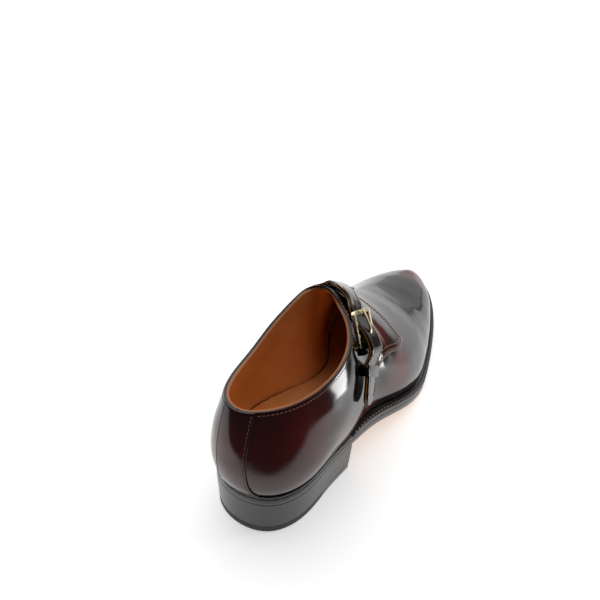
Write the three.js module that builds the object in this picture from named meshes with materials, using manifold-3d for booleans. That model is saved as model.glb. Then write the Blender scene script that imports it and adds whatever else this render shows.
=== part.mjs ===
// A monk strap shoe for the right foot: a welted leather sole with a stacked heel, a closed upper
// whose two quarters lie over the vamp, and one strap that crosses the instep to a buckle.
// Millimetres. +Y runs to the toe, +X to the outer (lateral) side, +Z up from the floor.
// The origin is on the floor under the middle of the heel seat.
import * as THREE from 'three';
import { mergeVertices } from 'three/addons/utils/BufferGeometryUtils.js';
import Module from 'manifold-3d';

// Driving sizes of the foot form
const SOLE_LENGTH = 304;
const BALL_WIDTH = 104;
const INSTEP_RISE = 86;
const HEEL_BACK_RISE = 62.5;

// Heel and sole
const HEEL_LENGTH = 74;
const HEEL_CENTRE = 34;
const SEAT_BACK_HEIGHT = 28;
const SEAT_FRONT_HEIGHT = 25.2;
const HEEL_TAPER = 0.6;
const TOPLIFT = 5.5;
const LIFT_COUNT = 4;
const TOE_SPRING = 12;
const OUTSOLE = 5.4;
const WELT = 3.1;
const RAND = 2.2;
const LEDGE_FOREPART = 4.6;
const LEDGE_HEEL = 0.9;
const INSOLE_ABOVE_WELT = 2.4;

// Leathers
const WALL = 2.0;
const OVERLAY = 1.2;
const BACK_STRIP = 1.0;
const TONGUE = 1.6;
const TONGUE_GAP = 0.8;
const STRAP = 3.0;
const STRAP_WIDTH = 15.6;
const GAP = 0.3;

// Buckle and keeper
const BUCKLE_LENGTH = 24;
const BUCKLE_WIDTH = 22.6;
const BUCKLE_BAR = 2.5;
const BUCKLE_THICKNESS = 2.2;
const PRONG_WIDTH = 1.8;
const PRONG_THICKNESS = 1.5;
const TAB = 1.2;
const TAB_WIDTH = 12;
const TAB_TAIL = 3;
const BUCKLE_LIFT = 0.6;
const KEEPER = 1.2;
const KEEPER_LENGTH = 7;
const BUCKLE_CORNER = 3.2;
const BUCKLE_INNER_CORNER = 0.8;
const KEEPER_INNER_CORNER = 0.2;
const PRONG_ROOT = { off: 0.4, rise: 0.9 };
const PRONG_OVERHANG = 0.6;

// How the heel's sizes turn into the waist's, for the welt's height and the ledge, in heel lengths
const WELT_WAY = { from: 0.85, to: 1.35 };
const LEDGE_WAY = { from: 0.74, to: 1.50 };
const TOE_CURVE = 1.8;

// The sole's outline, as shares of the sole's length and of the ball width
const OUTLINE = [
  { at: 0.020, medial: 0.190, lateral: 0.187 },
  { at: 0.079, medial: 0.303, lateral: 0.300 },
  { at: 0.165, medial: 0.327, lateral: 0.337 },
  { at: 0.245, medial: 0.278, lateral: 0.375 },
  { at: 0.345, medial: 0.195, lateral: 0.430 },
  { at: 0.460, medial: 0.228, lateral: 0.520 },
  { at: 0.560, medial: 0.370, lateral: 0.545 },
  { at: 0.645, medial: 0.455, lateral: 0.508 },
  { at: 0.740, medial: 0.466, lateral: 0.443 },
  { at: 0.840, medial: 0.393, lateral: 0.352 },
  { at: 0.920, medial: 0.287, lateral: 0.243 },
  { at: 0.972, medial: 0.170, lateral: 0.125 },
];
const TOE_TIP = -0.026;

// The flat tread of the forepart, as shares of the sole's length
const TREAD = { back: 0.632, front: 0.704 };

// The collar's rim: length along as a share of the sole, across as a share of the ball width,
// and rise over the welt as a share of the heel back's rise (rear) blended to the instep's (front)
const COLLAR = [
  { at: 0.0125, across: -0.010, rise: 0.995, front: 0.00 },
  { at: 0.028, across: 0.101, rise: 1.010, front: 0.00 },
  { at: 0.066, across: 0.202, rise: 1.020, front: 0.00 },
  { at: 0.122, across: 0.262, rise: 1.000, front: 0.02 },
  { at: 0.184, across: 0.288, rise: 0.985, front: 0.10 },
  { at: 0.237, across: 0.279, rise: 0.965, front: 0.30 },
  { at: 0.276, across: 0.242, rise: 0.945, front: 0.56 },
  { at: 0.311, across: 0.163, rise: 0.950, front: 0.80 },
  { at: 0.339, across: 0.042, rise: 0.980, front: 0.95 },
  { at: 0.354, across: -0.072, rise: 1.000, front: 1.00 },
  { at: 0.340, across: -0.156, rise: 0.985, front: 0.95 },
  { at: 0.312, across: -0.198, rise: 0.960, front: 0.80 },
  { at: 0.272, across: -0.228, rise: 0.945, front: 0.53 },
  { at: 0.227, across: -0.246, rise: 0.955, front: 0.25 },
  { at: 0.168, across: -0.244, rise: 0.935, front: 0.07 },
  { at: 0.105, across: -0.221, rise: 0.945, front: 0.01 },
  { at: 0.0625, across: -0.187, rise: 0.965, front: 0.00 },
  { at: 0.026, across: -0.120, rise: 0.985, front: 0.00 },
];
const COLLAR_FRONT = 9;
const COLLAR_SHARE = 0.43;

// The ridge from the collar to the toe's crown: rise over the welt as a share of the instep's rise
const RIDGE = [
  { at: 0.354, across: -0.072, rise: 1.000 },
  { at: 0.411, across: -0.091, rise: 0.940 },
  { at: 0.493, across: -0.106, rise: 0.836 },
  { at: 0.576, across: -0.115, rise: 0.748 },
  { at: 0.658, across: -0.115, rise: 0.634 },
  { at: 0.757, across: -0.096, rise: 0.512 },
  { at: 0.839, across: -0.077, rise: 0.405 },
  { at: 0.901, across: -0.058, rise: 0.312 },
];
const TOE_CROWDING = 1.25;

// The least half width of the crest as a share of the wall's height, so that it stays round,
// and the way over which the wall's top turns from a rim into the ridge
const CREST = 0.45;
const RIM_TO_RIDGE = 0.16;

// How the wall leaves the welt and arrives at the top, for shares of the way from heel to toe:
// the lean outward in degrees and the pull of the curve at each end
const LATERAL_WALL = [
  { at: 0.00, lean: 16, pull: 0.42, topLean: 22, topPull: 0.36 },
  { at: 0.10, lean: 16, pull: 0.42, topLean: 22, topPull: 0.36 },
  { at: 0.22, lean: 13, pull: 0.42, topLean: 19, topPull: 0.36 },
  { at: 0.34, lean: 12, pull: 0.40, topLean: 12, topPull: 0.34 },
  { at: 0.43, lean: 14, pull: 0.42, topLean: 0, topPull: 0.42 },
  { at: 0.55, lean: 20, pull: 0.46, topLean: 0, topPull: 0.46 },
  { at: 0.70, lean: 22, pull: 0.50, topLean: 0, topPull: 0.50 },
  { at: 0.85, lean: 20, pull: 0.56, topLean: 0, topPull: 0.54 },
  { at: 1.00, lean: 14, pull: 0.62, topLean: 0, topPull: 0.62 },
];
const MEDIAL_WALL = [
  { at: 0.00, lean: 16, pull: 0.42, topLean: 22, topPull: 0.36 },
  { at: 0.10, lean: 18, pull: 0.42, topLean: 18, topPull: 0.36 },
  { at: 0.22, lean: 16, pull: 0.42, topLean: 14, topPull: 0.36 },
  { at: 0.34, lean: 18, pull: 0.42, topLean: 12, topPull: 0.36 },
  { at: 0.43, lean: 22, pull: 0.40, topLean: 0, topPull: 0.42 },
  { at: 0.55, lean: 24, pull: 0.42, topLean: 0, topPull: 0.42 },
  { at: 0.70, lean: 22, pull: 0.48, topLean: 0, topPull: 0.46 },
  { at: 0.85, lean: 18, pull: 0.56, topLean: 0, topPull: 0.50 },
  { at: 1.00, lean: 14, pull: 0.62, topLean: 0, topPull: 0.62 },
];

// The quarters' front seams: share of the way from heel to toe, and share of the way up the wall
const LATERAL_SEAM = [
  { at: 0.245, up: 0.00 },
  { at: 0.262, up: 0.07 },
  { at: 0.280, up: 0.16 },
  { at: 0.320, up: 0.25 },
  { at: 0.359, up: 0.315 },
  { at: 0.399, up: 0.370 },
  { at: 0.448, up: 0.395 },
  { at: 0.480, up: 0.400 },
  { at: 0.495, up: 0.410 },
  { at: 0.520, up: 0.470 },
];
const MEDIAL_SEAM = [
  { at: 0.265, up: 0.00 },
  { at: 0.300, up: 0.11 },
  { at: 0.336, up: 0.23 },
  { at: 0.390, up: 0.36 },
  { at: 0.441, up: 0.48 },
  { at: 0.495, up: 0.66 },
  { at: 0.550, up: 0.84 },
  { at: 0.610, up: 0.960 },
];

const RIDGE_MARGIN = 0.015;
const BACK_SEAM = 0.0015;
const TONGUE_END = 0.66;

// The back strip's outer edge by its way up the wall, and its inner edge, as shares of the way
// from heel to toe
const STRIP_EDGE = [
  { at: 0.00, outer: 0.0396 },
  { at: 0.15, outer: 0.0295 },
  { at: 0.35, outer: 0.0235 },
  { at: 0.65, outer: 0.0245 },
  { at: 1.00, outer: 0.0306 },
];
const STRIP_INNER = 0.033;

// The strap from its root over the instep to its tip: each edge by its share of the way from heel
// to toe and its way down from the ridge (inner side below zero), and the lift over the quarter
// in shares of the strap's thickness
const STRAP_ROWS = [
  { rear: 0.385, rearDown: -0.040, front: 0.548, frontDown: -0.30, lift: 0.267 },
  { rear: 0.410, rearDown: -0.035, front: 0.540, frontDown: -0.20, lift: 0.267 },
  { rear: 0.438, rearDown: -0.020, front: 0.528, frontDown: -0.10, lift: 0.267 },
  { rear: 0.446, rearDown: 0.010, front: 0.512, frontDown: 0.00, lift: 0.333 },
  { rear: 0.436, rearDown: 0.060, front: 0.497, frontDown: 0.09, lift: 0.400 },
  { rear: 0.408, rearDown: 0.110, front: 0.476, frontDown: 0.16, lift: 0.433 },
];

// The strap's straight run on the outer quarter: its footprint at the buckle's middle and near
// its tip
const RUN_START = { at: 0.372, down: 0.30 };
const RUN_END = { at: 0.276, down: 0.61 };

// Along the run, from the buckle's middle in shares of the buckle's length: the strap's lift over
// the quarter in shares of its own thickness, and its width as a share of the full width
const TAIL_LIFT = 0.80;
const STRAP_RUN = [
  { at: -0.50, lift: 0.36, width: 1.00 },
  { at: -0.38, lift: 0.36, width: 1.00 },
  { at: -0.21, lift: 0.55, width: 1.00 },
  { at: -0.06, lift: 1.00, width: 1.00 },
  { at: 0.06, lift: 1.42, width: 1.00 },
  { at: 0.29, lift: 2.07, width: 1.00 },
  { at: 0.40, lift: 2.24, width: 1.00 },
  { at: 0.50, lift: 2.30, width: 1.00 },
  { at: 0.63, lift: 2.00, width: 1.00 },
  { at: 0.75, lift: 1.33, width: 1.00 },
  { at: 0.86, lift: TAIL_LIFT, width: 1.00 },
  { at: 1.18, lift: TAIL_LIFT, width: 1.00 },
  { at: 1.34, lift: TAIL_LIFT, width: 1.00 },
  { at: 1.52, lift: TAIL_LIFT, width: 0.98 },
  { at: 1.70, lift: 0.82, width: 0.86 },
  { at: 1.83, lift: 0.84, width: 0.60 },
  { at: 1.90, lift: 0.86, width: 0.28 },
];
const PRONG_HOLE_ROW = 4;
const LEVEL_WITH_BUCKLE = 0.82;
const KEEPER_AT = 1.02;
const STRAP_COLUMNS = [-0.5, -0.3, -0.1, 0.1, 0.3, 0.5];

// The prong's spine between its root at the pivot bar and its tip past the outer bar: place along
// the buckle as a share of its length, and rise as a share of the strap's thickness
const PRONG_SPINE = [
  { at: 0.275, rise: 0.667 },
  { at: 0.110, rise: 1.500 },
  { at: 0.000, rise: 1.533 },
];

// The joint in the toplift, rubber behind and leather in front, as shares of the heel's length
const TOPLIFT_JOINT = { medial: 0.41, lateral: 0.60 };

// Rows, columns and steps of the faceted solids
const LINE_STEPS = 400;
const REAR_COLUMNS = 15;
const FRONT_COLUMNS = 19;
const WALL_ROWS = 11;
const TONGUE_ROWS = 3;
const LEAST_ROW = 0.012;
const STEPS = {
  topliftRubber: 16,
  topliftLeather: 6,
  heelLift: 18,
  outsole: 48,
  welt: 36,
  rand: 14,
  insole: 44,
  buckleCorner: 4,
  keeperCorner: 2,
};

const { sin, cos, hypot, PI, min, max, abs, pow } = Math;
const lerp = THREE.MathUtils.lerp;
const vector = (x, y, z) => new THREE.Vector3(x, y, z);

// Equations and splines
function solve(matrix, right) {
  const n = right.length;
  for (let k = 0; k < n; k += 1) {
    let best = k;
    for (let i = k + 1; i < n; i += 1) if (abs(matrix[i][k]) > abs(matrix[best][k])) best = i;
    [matrix[k], matrix[best]] = [matrix[best], matrix[k]];
    [right[k], right[best]] = [right[best], right[k]];
    for (let i = k + 1; i < n; i += 1) {
      const factor = matrix[i][k] / matrix[k][k];
      for (let j = k; j < n; j += 1) matrix[i][j] -= factor * matrix[k][j];
      right[i] -= factor * right[k];
    }
  }
  const out = new Array(n).fill(0);
  for (let i = n - 1; i >= 0; i -= 1) {
    let sum = right[i];
    for (let j = i + 1; j < n; j += 1) sum -= matrix[i][j] * out[j];
    out[i] = sum / matrix[i][i];
  }
  return out;
}

const zeros = (n) => Array.from({ length: n }, () => new Array(n).fill(0));

function cubic(t, left, right, a, b, bendA, bendB) {
  const h = right - left;
  const u = right - t;
  const v = t - left;
  return (bendA * u ** 3 + bendB * v ** 3) / (6 * h)
    + (a / h - (bendA * h) / 6) * u + (b / h - (bendB * h) / 6) * v;
}

function naturalSpline(rows, key) {
  const knots = rows.map((row) => row.at);
  const values = rows.map((row) => row[key]);
  const n = knots.length;
  const matrix = zeros(n);
  const right = new Array(n).fill(0);
  matrix[0][0] = 1;
  matrix[n - 1][n - 1] = 1;
  for (let i = 1; i < n - 1; i += 1) {
    const before = knots[i] - knots[i - 1];
    const after = knots[i + 1] - knots[i];
    matrix[i][i - 1] = before;
    matrix[i][i] = 2 * (before + after);
    matrix[i][i + 1] = after;
    right[i] = 6 * ((values[i + 1] - values[i]) / after - (values[i] - values[i - 1]) / before);
  }
  const bend = solve(matrix, right);
  return (t) => {
    let i = 0;
    while (i < n - 2 && t > knots[i + 1]) i += 1;
    return cubic(t, knots[i], knots[i + 1], values[i], values[i + 1], bend[i], bend[i + 1]);
  };
}

function closedSpline(points) {
  const n = points.length;
  const size = points[0].length;
  const steps = points.map((p, i) => hypot(...p.map((value, k) => points[(i + 1) % n][k] - value)));
  const knots = [0];
  for (const step of steps) knots.push(knots[knots.length - 1] + step);
  const total = knots[n];
  const bends = [];
  for (let k = 0; k < size; k += 1) {
    const matrix = zeros(n);
    const right = new Array(n).fill(0);
    for (let i = 0; i < n; i += 1) {
      const before = (i + n - 1) % n;
      const after = (i + 1) % n;
      matrix[i][before] += steps[before];
      matrix[i][i] += 2 * (steps[before] + steps[i]);
      matrix[i][after] += steps[i];
      right[i] = 6 * ((points[after][k] - points[i][k]) / steps[i]
        - (points[i][k] - points[before][k]) / steps[before]);
    }
    bends.push(solve(matrix, right));
  }
  const at = (share) => {
    const t = (((share % 1) + 1) % 1) * total;
    let i = 0;
    while (i < n - 1 && t > knots[i + 1]) i += 1;
    const next = (i + 1) % n;
    return points[i].map((value, k) => (
      cubic(t, knots[i], knots[i + 1], value, points[next][k], bends[k][i], bends[k][next])));
  };
  return { at, shareOf: (index) => knots[index] / total };
}

function straightTable(rows, key) {
  return (t) => {
    let i = 0;
    while (i < rows.length - 2 && t > rows[i + 1].at) i += 1;
    const share = (t - rows[i].at) / (rows[i + 1].at - rows[i].at);
    return lerp(rows[i][key], rows[i + 1][key], min(max(share, 0), 1));
  };
}

// A row partly from one row to another, in every column
function between(a, b, t) {
  const mix = {};
  for (const key of Object.keys(a)) mix[key] = lerp(a[key], b[key], t);
  return mix;
}

const ease = (from, to, value) => {
  const t = min(max((value - from) / (to - from), 0), 1);
  return t * t * (3 - 2 * t);
};

// Heights along the shoe, with the length measured from the back of the heel
const treadBack = TREAD.back * SOLE_LENGTH;
const treadFront = TREAD.front * SOLE_LENGTH;

function soleBottom(length) {
  const seatSlope = (SEAT_FRONT_HEIGHT - SEAT_BACK_HEIGHT) / HEEL_LENGTH;
  if (length < HEEL_LENGTH) return SEAT_BACK_HEIGHT + seatSlope * length;
  if (length < treadBack) {
    const span = treadBack - HEEL_LENGTH;
    const t = (length - HEEL_LENGTH) / span;
    return SEAT_FRONT_HEIGHT * (1 + 2 * t) * (1 - t) ** 2 + seatSlope * span * t * (1 - t) ** 2;
  }
  return TOE_SPRING * pow(max(length - treadFront, 0) / (SOLE_LENGTH - treadFront), TOE_CURVE);
}

const soleTop = (length) => soleBottom(length) + OUTSOLE;
const waist = (length) => ease(WELT_WAY.from * HEEL_LENGTH, WELT_WAY.to * HEEL_LENGTH, length);
const weltBottom = (length) => soleTop(length) + GAP;
const weltTop = (length) => weltBottom(length) + lerp(RAND, WELT, waist(length));
const upperBase = (length) => weltTop(length) + GAP;
const ledge = (length) => {
  const way = ease(LEDGE_WAY.from * HEEL_LENGTH, LEDGE_WAY.to * HEEL_LENGTH, length);
  return lerp(LEDGE_HEEL, LEDGE_FOREPART, way);
};

// The sole's outline and the lines inside it
const outlinePoints = [
  [0, 0],
  ...OUTLINE.map((row) => [row.lateral * BALL_WIDTH, row.at * SOLE_LENGTH]),
  [TOE_TIP * BALL_WIDTH, SOLE_LENGTH],
  ...OUTLINE.map((row) => [-row.medial * BALL_WIDTH, row.at * SOLE_LENGTH]).reverse(),
];
const outline = closedSpline(outlinePoints);
const toeShare = outline.shareOf(OUTLINE.length + 1);

// A line inside the outline on one side (+1 lateral, -1 medial), from the heel's back to the toe
function insideLine(side, inset) {
  const from = side > 0 ? 0 : 1;
  const line = [];
  let run = 0;
  for (let i = 0; i <= LINE_STEPS; i += 1) {
    const share = lerp(from, toeShare, i / LINE_STEPS);
    const [x, y] = outline.at(share);
    const ahead = outline.at(share + 1e-4);
    const behind = outline.at(share - 1e-4);
    const size = hypot(ahead[0] - behind[0], ahead[1] - behind[1]);
    const nx = (ahead[1] - behind[1]) / size;
    const ny = (behind[0] - ahead[0]) / size;
    const depth = inset(y);
    const point = { x: x - nx * depth, y: y - ny * depth, nx, ny };
    if (i > 0) run += hypot(point.x - line[i - 1].x, point.y - line[i - 1].y);
    line.push({ ...point, run });
  }
  const total = run;
  const find = (key, value) => {
    let low = 0;
    let high = LINE_STEPS - 1;
    while (low < high) {
      const middle = Math.ceil((low + high) / 2);
      if (line[middle][key] <= value) low = middle;
      else high = middle - 1;
    }
    const gap = line[low + 1][key] - line[low][key];
    return between(line[low], line[low + 1], min(max((value - line[low][key]) / (gap || 1), 0), 1));
  };
  return {
    start: line[0].y,
    end: line[LINE_STEPS].y,
    atShare: (share) => find('run', share * total),
    across: (length) => find('y', length).x,
    shareAt: (length) => find('y', length).run / total,
  };
}

// The upper's outer form
const collar = closedSpline(COLLAR.map((row) => {
  const length = row.at * SOLE_LENGTH;
  const rise = row.rise * lerp(HEEL_BACK_RISE, INSTEP_RISE, row.front);
  return [row.across * BALL_WIDTH, length, upperBase(length) + rise];
}));
const collarFront = collar.shareOf(COLLAR_FRONT);

function collarLine(side) {
  const from = side > 0 ? 0 : 1;
  const points = [];
  let run = 0;
  for (let i = 0; i <= LINE_STEPS; i += 1) {
    const point = collar.at(lerp(from, collarFront, i / LINE_STEPS));
    if (i > 0) run += hypot(...point.map((value, k) => value - points[i - 1].point[k]));
    points.push({ point, run });
  }
  return (share) => {
    let i = 0;
    while (i < LINE_STEPS - 1 && points[i + 1].run < share * run) i += 1;
    const t = (share * run - points[i].run) / (points[i + 1].run - points[i].run);
    return points[i].point.map((value, k) => lerp(value, points[i + 1].point[k], t));
  };
}

const ridgeAcross = naturalSpline(RIDGE, 'across');
const ridgeRise = naturalSpline(RIDGE, 'rise');
const crownAt = RIDGE[RIDGE.length - 1].at;

function ridgePoint(at) {
  const length = at * SOLE_LENGTH;
  return [ridgeAcross(at) * BALL_WIDTH, length, upperBase(length) + ridgeRise(at) * INSTEP_RISE];
}

const sides = {};
for (const [side, rows] of [[1, LATERAL_WALL], [-1, MEDIAL_WALL]]) {
  sides[side] = {
    feather: insideLine(side, ledge),
    collar: collarLine(side),
    lean: naturalSpline(rows, 'lean'),
    pull: naturalSpline(rows, 'pull'),
    topLean: naturalSpline(rows, 'topLean'),
    topPull: naturalSpline(rows, 'topPull'),
  };
}

// The four control points of the wall's curve at a share of the way from heel to toe
function wallCurve(side, share) {
  const form = sides[side];
  const foot = form.feather.atShare(share);
  const base = vector(foot.x, foot.y, upperBase(foot.y));
  const outward = vector(foot.nx, foot.ny, 0).normalize();
  let top;
  let slope = 0;
  if (share < COLLAR_SHARE) {
    top = vector(...form.collar(share / COLLAR_SHARE));
  } else {
    const way = 1 - pow(1 - (share - COLLAR_SHARE) / (1 - COLLAR_SHARE), TOE_CROWDING);
    const at = lerp(RIDGE[0].at, crownAt, way);
    top = vector(...ridgePoint(at));
    const step = 1 / SOLE_LENGTH;
    slope = (ridgePoint(at + step)[2] - ridgePoint(at - step)[2]) / 2;
  }
  const height = top.z - base.z;
  const lean = THREE.MathUtils.degToRad(form.lean(share));
  const topLean = THREE.MathUtils.degToRad(form.topLean(share));
  const low = outward.clone().multiplyScalar(sin(lean)).add(vector(0, 0, cos(lean)));
  low.multiplyScalar(form.pull(share) * height).add(base);
  const across = vector(base.x - top.x, base.y - top.y, 0);
  const width = max(across.length(), CREST * height);
  across.normalize();
  const over = vector(across.x, across.y, slope * across.y).normalize();
  over.multiplyScalar(form.topPull(share) * width);
  const down = outward.clone().multiplyScalar(sin(topLean)).add(vector(0, 0, -cos(topLean)));
  down.multiplyScalar(form.topPull(share) * height);
  const turn = ease(COLLAR_SHARE - RIM_TO_RIDGE, COLLAR_SHARE, share);
  const high = down.lerp(over, turn).add(top);
  return [base, low, high, top, slope];
}

function wallPoint(side, share, up) {
  const [a, b, c, d] = wallCurve(side, share);
  const t = up;
  const u = 1 - t;
  return vector(0, 0, 0)
    .addScaledVector(a, u ** 3)
    .addScaledVector(b, 3 * u * u * t)
    .addScaledVector(c, 3 * u * t * t)
    .addScaledVector(d, t ** 3);
}

function wallNormal(side, share, up) {
  if (up > 0.999 && share >= COLLAR_SHARE) {
    return vector(0, -wallCurve(side, share)[4], 1).normalize();
  }
  const near = 1e-3;
  const alongA = wallPoint(side, max(share - near, 0), up);
  const alongB = wallPoint(side, min(share + near, 1), up);
  const upA = wallPoint(side, share, max(up - near, 0));
  const upB = wallPoint(side, share, min(up + near, 1));
  return alongB.sub(alongA).cross(upB.sub(upA)).multiplyScalar(side).normalize();
}

// A point over the upper's form: down runs from the ridge or rim (0) to the welt (1 or -1)
function overUpper(share, down, height) {
  const side = down < 0 ? -1 : 1;
  const up = 1 - abs(down);
  return wallPoint(side, share, up).addScaledVector(wallNormal(side, share, up), height);
}

// Solids from points and faces, moved so that the origin is under the heel's middle
function geometry(points, triangles) {
  const built = new THREE.BufferGeometry();
  const positions = points.flatMap((p) => [p.x, p.y - HEEL_CENTRE, p.z]);
  built.setAttribute('position', new THREE.Float32BufferAttribute(positions, 3));
  built.setIndex(triangles.flat());
  built.computeVertexNormals();
  return built;
}

// A sheet of quads between two heights over the upper, walled along its free edges
function leather(spots, quads, inner, outer) {
  const count = spots.length;
  const level = ({ side, share, up }, height) => (
    wallPoint(side, share, up).addScaledVector(wallNormal(side, share, up), height));
  const points = [...spots.map((spot) => level(spot, outer)), ...spots.map((spot) => level(spot, inner))];
  return thicken(points, count, quads);
}

function thicken(points, count, quads) {
  const triangles = [];
  const edges = new Map();
  for (const [a, b, c, d] of quads) {
    for (const [i, j, k] of [[a, b, c], [a, c, d]]) {
      if (i === j || j === k || k === i) continue;
      triangles.push([i, j, k], [i + count, k + count, j + count]);
      for (const [p, q] of [[i, j], [j, k], [k, i]]) {
        if (edges.has(`${q},${p}`)) edges.delete(`${q},${p}`);
        else edges.set(`${p},${q}`, [p, q]);
      }
    }
  }
  for (const [p, q] of edges.values()) {
    triangles.push([q, p, p + count], [q, p + count, q + count]);
  }
  return geometry(points, triangles);
}

// Quads of a grid of columns that all have the same number of points
function gridQuads(columns) {
  const quads = [];
  for (let i = 0; i + 1 < columns.length; i += 1) {
    for (let j = 0; j + 1 < columns[i].length; j += 1) {
      quads.push([columns[i][j], columns[i + 1][j], columns[i + 1][j + 1], columns[i][j + 1]]);
    }
  }
  return quads;
}

const stations = [
  ...Array.from({ length: REAR_COLUMNS }, (_, i) => (COLLAR_SHARE * i) / REAR_COLUMNS),
  ...Array.from({ length: FRONT_COLUMNS + 1 }, (_, i) => lerp(COLLAR_SHARE, 1, i / FRONT_COLUMNS)),
];

function upperGeometry() {
  const spots = [];
  const known = new Map();
  const index = (side, i, j) => {
    const share = stations[i];
    const shared = i === 0 || i === stations.length - 1 || (j === WALL_ROWS && share >= COLLAR_SHARE);
    const key = `${shared ? 0 : side},${i},${j}`;
    if (!known.has(key)) {
      known.set(key, spots.length);
      spots.push({ side, share, up: j / WALL_ROWS });
    }
    return known.get(key);
  };
  const quads = [];
  for (const side of [1, -1]) {
    const columns = stations.map((_, i) => (
      Array.from({ length: WALL_ROWS + 1 }, (__, j) => index(side, i, j))));
    if (side < 0) columns.reverse();
    quads.push(...gridQuads(columns));
  }
  return leather(spots, quads, -(GAP + OVERLAY + WALL), -(GAP + OVERLAY));
}

// A quarter laid over the upper on the upper's own rows, from the back seam to its front seam
function quarterGeometry(side, seam) {
  const seamUp = straightTable(seam, 'up');
  const first = seam[0].at;
  const last = seam[seam.length - 1].at;
  const shares = [BACK_SEAM, ...stations.filter((share) => share > BACK_SEAM && share < last + 1e-6)];
  const spots = [];
  const columns = shares.map((share) => {
    const foot = share <= first ? 0 : seamUp(share);
    const head = share < COLLAR_SHARE - 1e-6 ? 1 : 1 - RIDGE_MARGIN;
    const known = new Map();
    return Array.from({ length: WALL_ROWS + 1 }, (_, j) => {
      let up = min(max(j / WALL_ROWS, foot), head);
      if (abs(up - foot) < LEAST_ROW) up = foot;
      if (!known.has(up)) {
        known.set(up, spots.length);
        spots.push({ side, share, up });
      }
      return known.get(up);
    });
  });
  if (side < 0) columns.reverse();
  return leather(spots, gridQuads(columns), -OVERLAY, 0);
}

function backStripGeometry() {
  const spots = [];
  const outer = naturalSpline(STRIP_EDGE, 'outer');
  const columns = [-1, -0.5, 0, 0.5, 1].map((across) => Array.from({ length: WALL_ROWS + 1 }, (_, j) => {
    const up = j / WALL_ROWS;
    const reach = across < 0 ? STRIP_INNER : outer(up);
    spots.push({ side: across < 0 ? -1 : 1, share: abs(across) * reach, up });
    return spots.length - 1;
  }));
  return leather(spots, gridQuads(columns), GAP, GAP + BACK_STRIP);
}

function tongueGeometry() {
  const spots = [];
  const downs = Array.from({ length: 2 * TONGUE_ROWS + 1 }, (_, j) => (j - TONGUE_ROWS) / WALL_ROWS);
  const shares = stations.filter((share) => share > COLLAR_SHARE + 1e-6 && share < TONGUE_END);
  const columns = shares.map((share) => downs.map((down) => {
    spots.push({ side: down < 0 ? -1 : 1, share, up: 1 - abs(down) });
    return spots.length - 1;
  }));
  columns.reverse();
  const outer = -(GAP + OVERLAY + WALL + TONGUE_GAP);
  return leather(spots, gridQuads(columns), outer - TONGUE, outer);
}

// The footprint of the strap's run at a distance from the buckle's middle
const runStart = overUpper(RUN_START.at, RUN_START.down, 0);
const runLength = overUpper(RUN_END.at, RUN_END.down, 0).distanceTo(runStart);

function overRun(distance, height) {
  const way = distance / runLength;
  return overUpper(lerp(RUN_START.at, RUN_END.at, way), lerp(RUN_START.down, RUN_END.down, way), height);
}

// Axes on the run: along to the tip, out of the quarter, and across to the toe side
function runAxes(distance) {
  const along = overRun(distance + 1, 0).sub(overRun(distance - 1, 0)).normalize();
  const out = overRun(distance, 1).sub(overRun(distance, 0)).normalize();
  const across = along.clone().cross(out).negate().normalize();
  return { along, out: along.clone().cross(across).normalize(), across };
}

function strapGeometry() {
  const top = [];
  const bottom = [];
  const columns = [];
  for (let k = 0; k <= 2 * (STRAP_ROWS.length - 1); k += 1) {
    const row = between(STRAP_ROWS[Math.floor(k / 2)], STRAP_ROWS[Math.ceil(k / 2)], (k % 2) / 2);
    columns.push(STRAP_COLUMNS.map((share) => {
      const at = lerp(row.rear, row.front, share + 0.5);
      const down = lerp(row.rearDown, row.frontDown, share + 0.5);
      top.push(overUpper(at, down, (row.lift + 1) * STRAP));
      bottom.push(overUpper(at, down, row.lift * STRAP));
      return top.length - 1;
    }));
  }
  for (const row of STRAP_RUN) {
    const distance = row.at * BUCKLE_LENGTH;
    const { across, out } = runAxes(row.at < LEVEL_WITH_BUCKLE ? 0 : distance);
    const under = overRun(distance, row.lift * STRAP);
    columns.push(STRAP_COLUMNS.map((share) => {
      const point = under.clone().addScaledVector(across, share * row.width * STRAP_WIDTH);
      bottom.push(point);
      top.push(point.clone().addScaledVector(out, STRAP));
      return top.length - 1;
    }));
  }
  const quads = gridQuads(columns);
  const across = STRAP_COLUMNS.length - 1;
  const hole = (2 * STRAP_ROWS.length - 1 + PRONG_HOLE_ROW) * across + (across - 1) / 2;
  quads.splice(hole, 1);
  return thicken([...top, ...bottom], top.length, quads);
}

// The buckle's plane runs from its outer bar, over the strap, to its pivot bar, under the strap
const barOffset = (BUCKLE_LENGTH - BUCKLE_BAR) / 2;
const outerBarHeight = STRAP_RUN[0].lift * STRAP + STRAP + GAP + BUCKLE_THICKNESS / 2 + BUCKLE_LIFT;
const pivotHeight = GAP + TAB + GAP + BUCKLE_THICKNESS / 2 + BUCKLE_LIFT;

function buckleFrame() {
  const outer = overRun(-barOffset, outerBarHeight);
  const pivot = overRun(barOffset, pivotHeight);
  const along = pivot.clone().sub(outer).normalize();
  const across = runAxes(0).across;
  across.addScaledVector(along, -across.dot(along)).normalize();
  const out = along.clone().cross(across).normalize();
  return { centre: outer.add(pivot).multiplyScalar(0.5), along, across, out };
}
const buckle = buckleFrame();

function keeperFrame() {
  const distance = KEEPER_AT * BUCKLE_LENGTH;
  return { centre: overRun(distance, 0), ...runAxes(distance) };
}

// Places a geometry drawn with X along, Y across and Z out
function placed(built, frame) {
  const axes = new THREE.Matrix4().makeBasis(frame.along, frame.across, frame.out);
  const turned = axes.determinant() < 0 ? built.scale(1, -1, 1) : built;
  turned.applyMatrix4(axes);
  turned.translate(frame.centre.x, frame.centre.y - HEEL_CENTRE, frame.centre.z);
  return turned;
}

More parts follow.
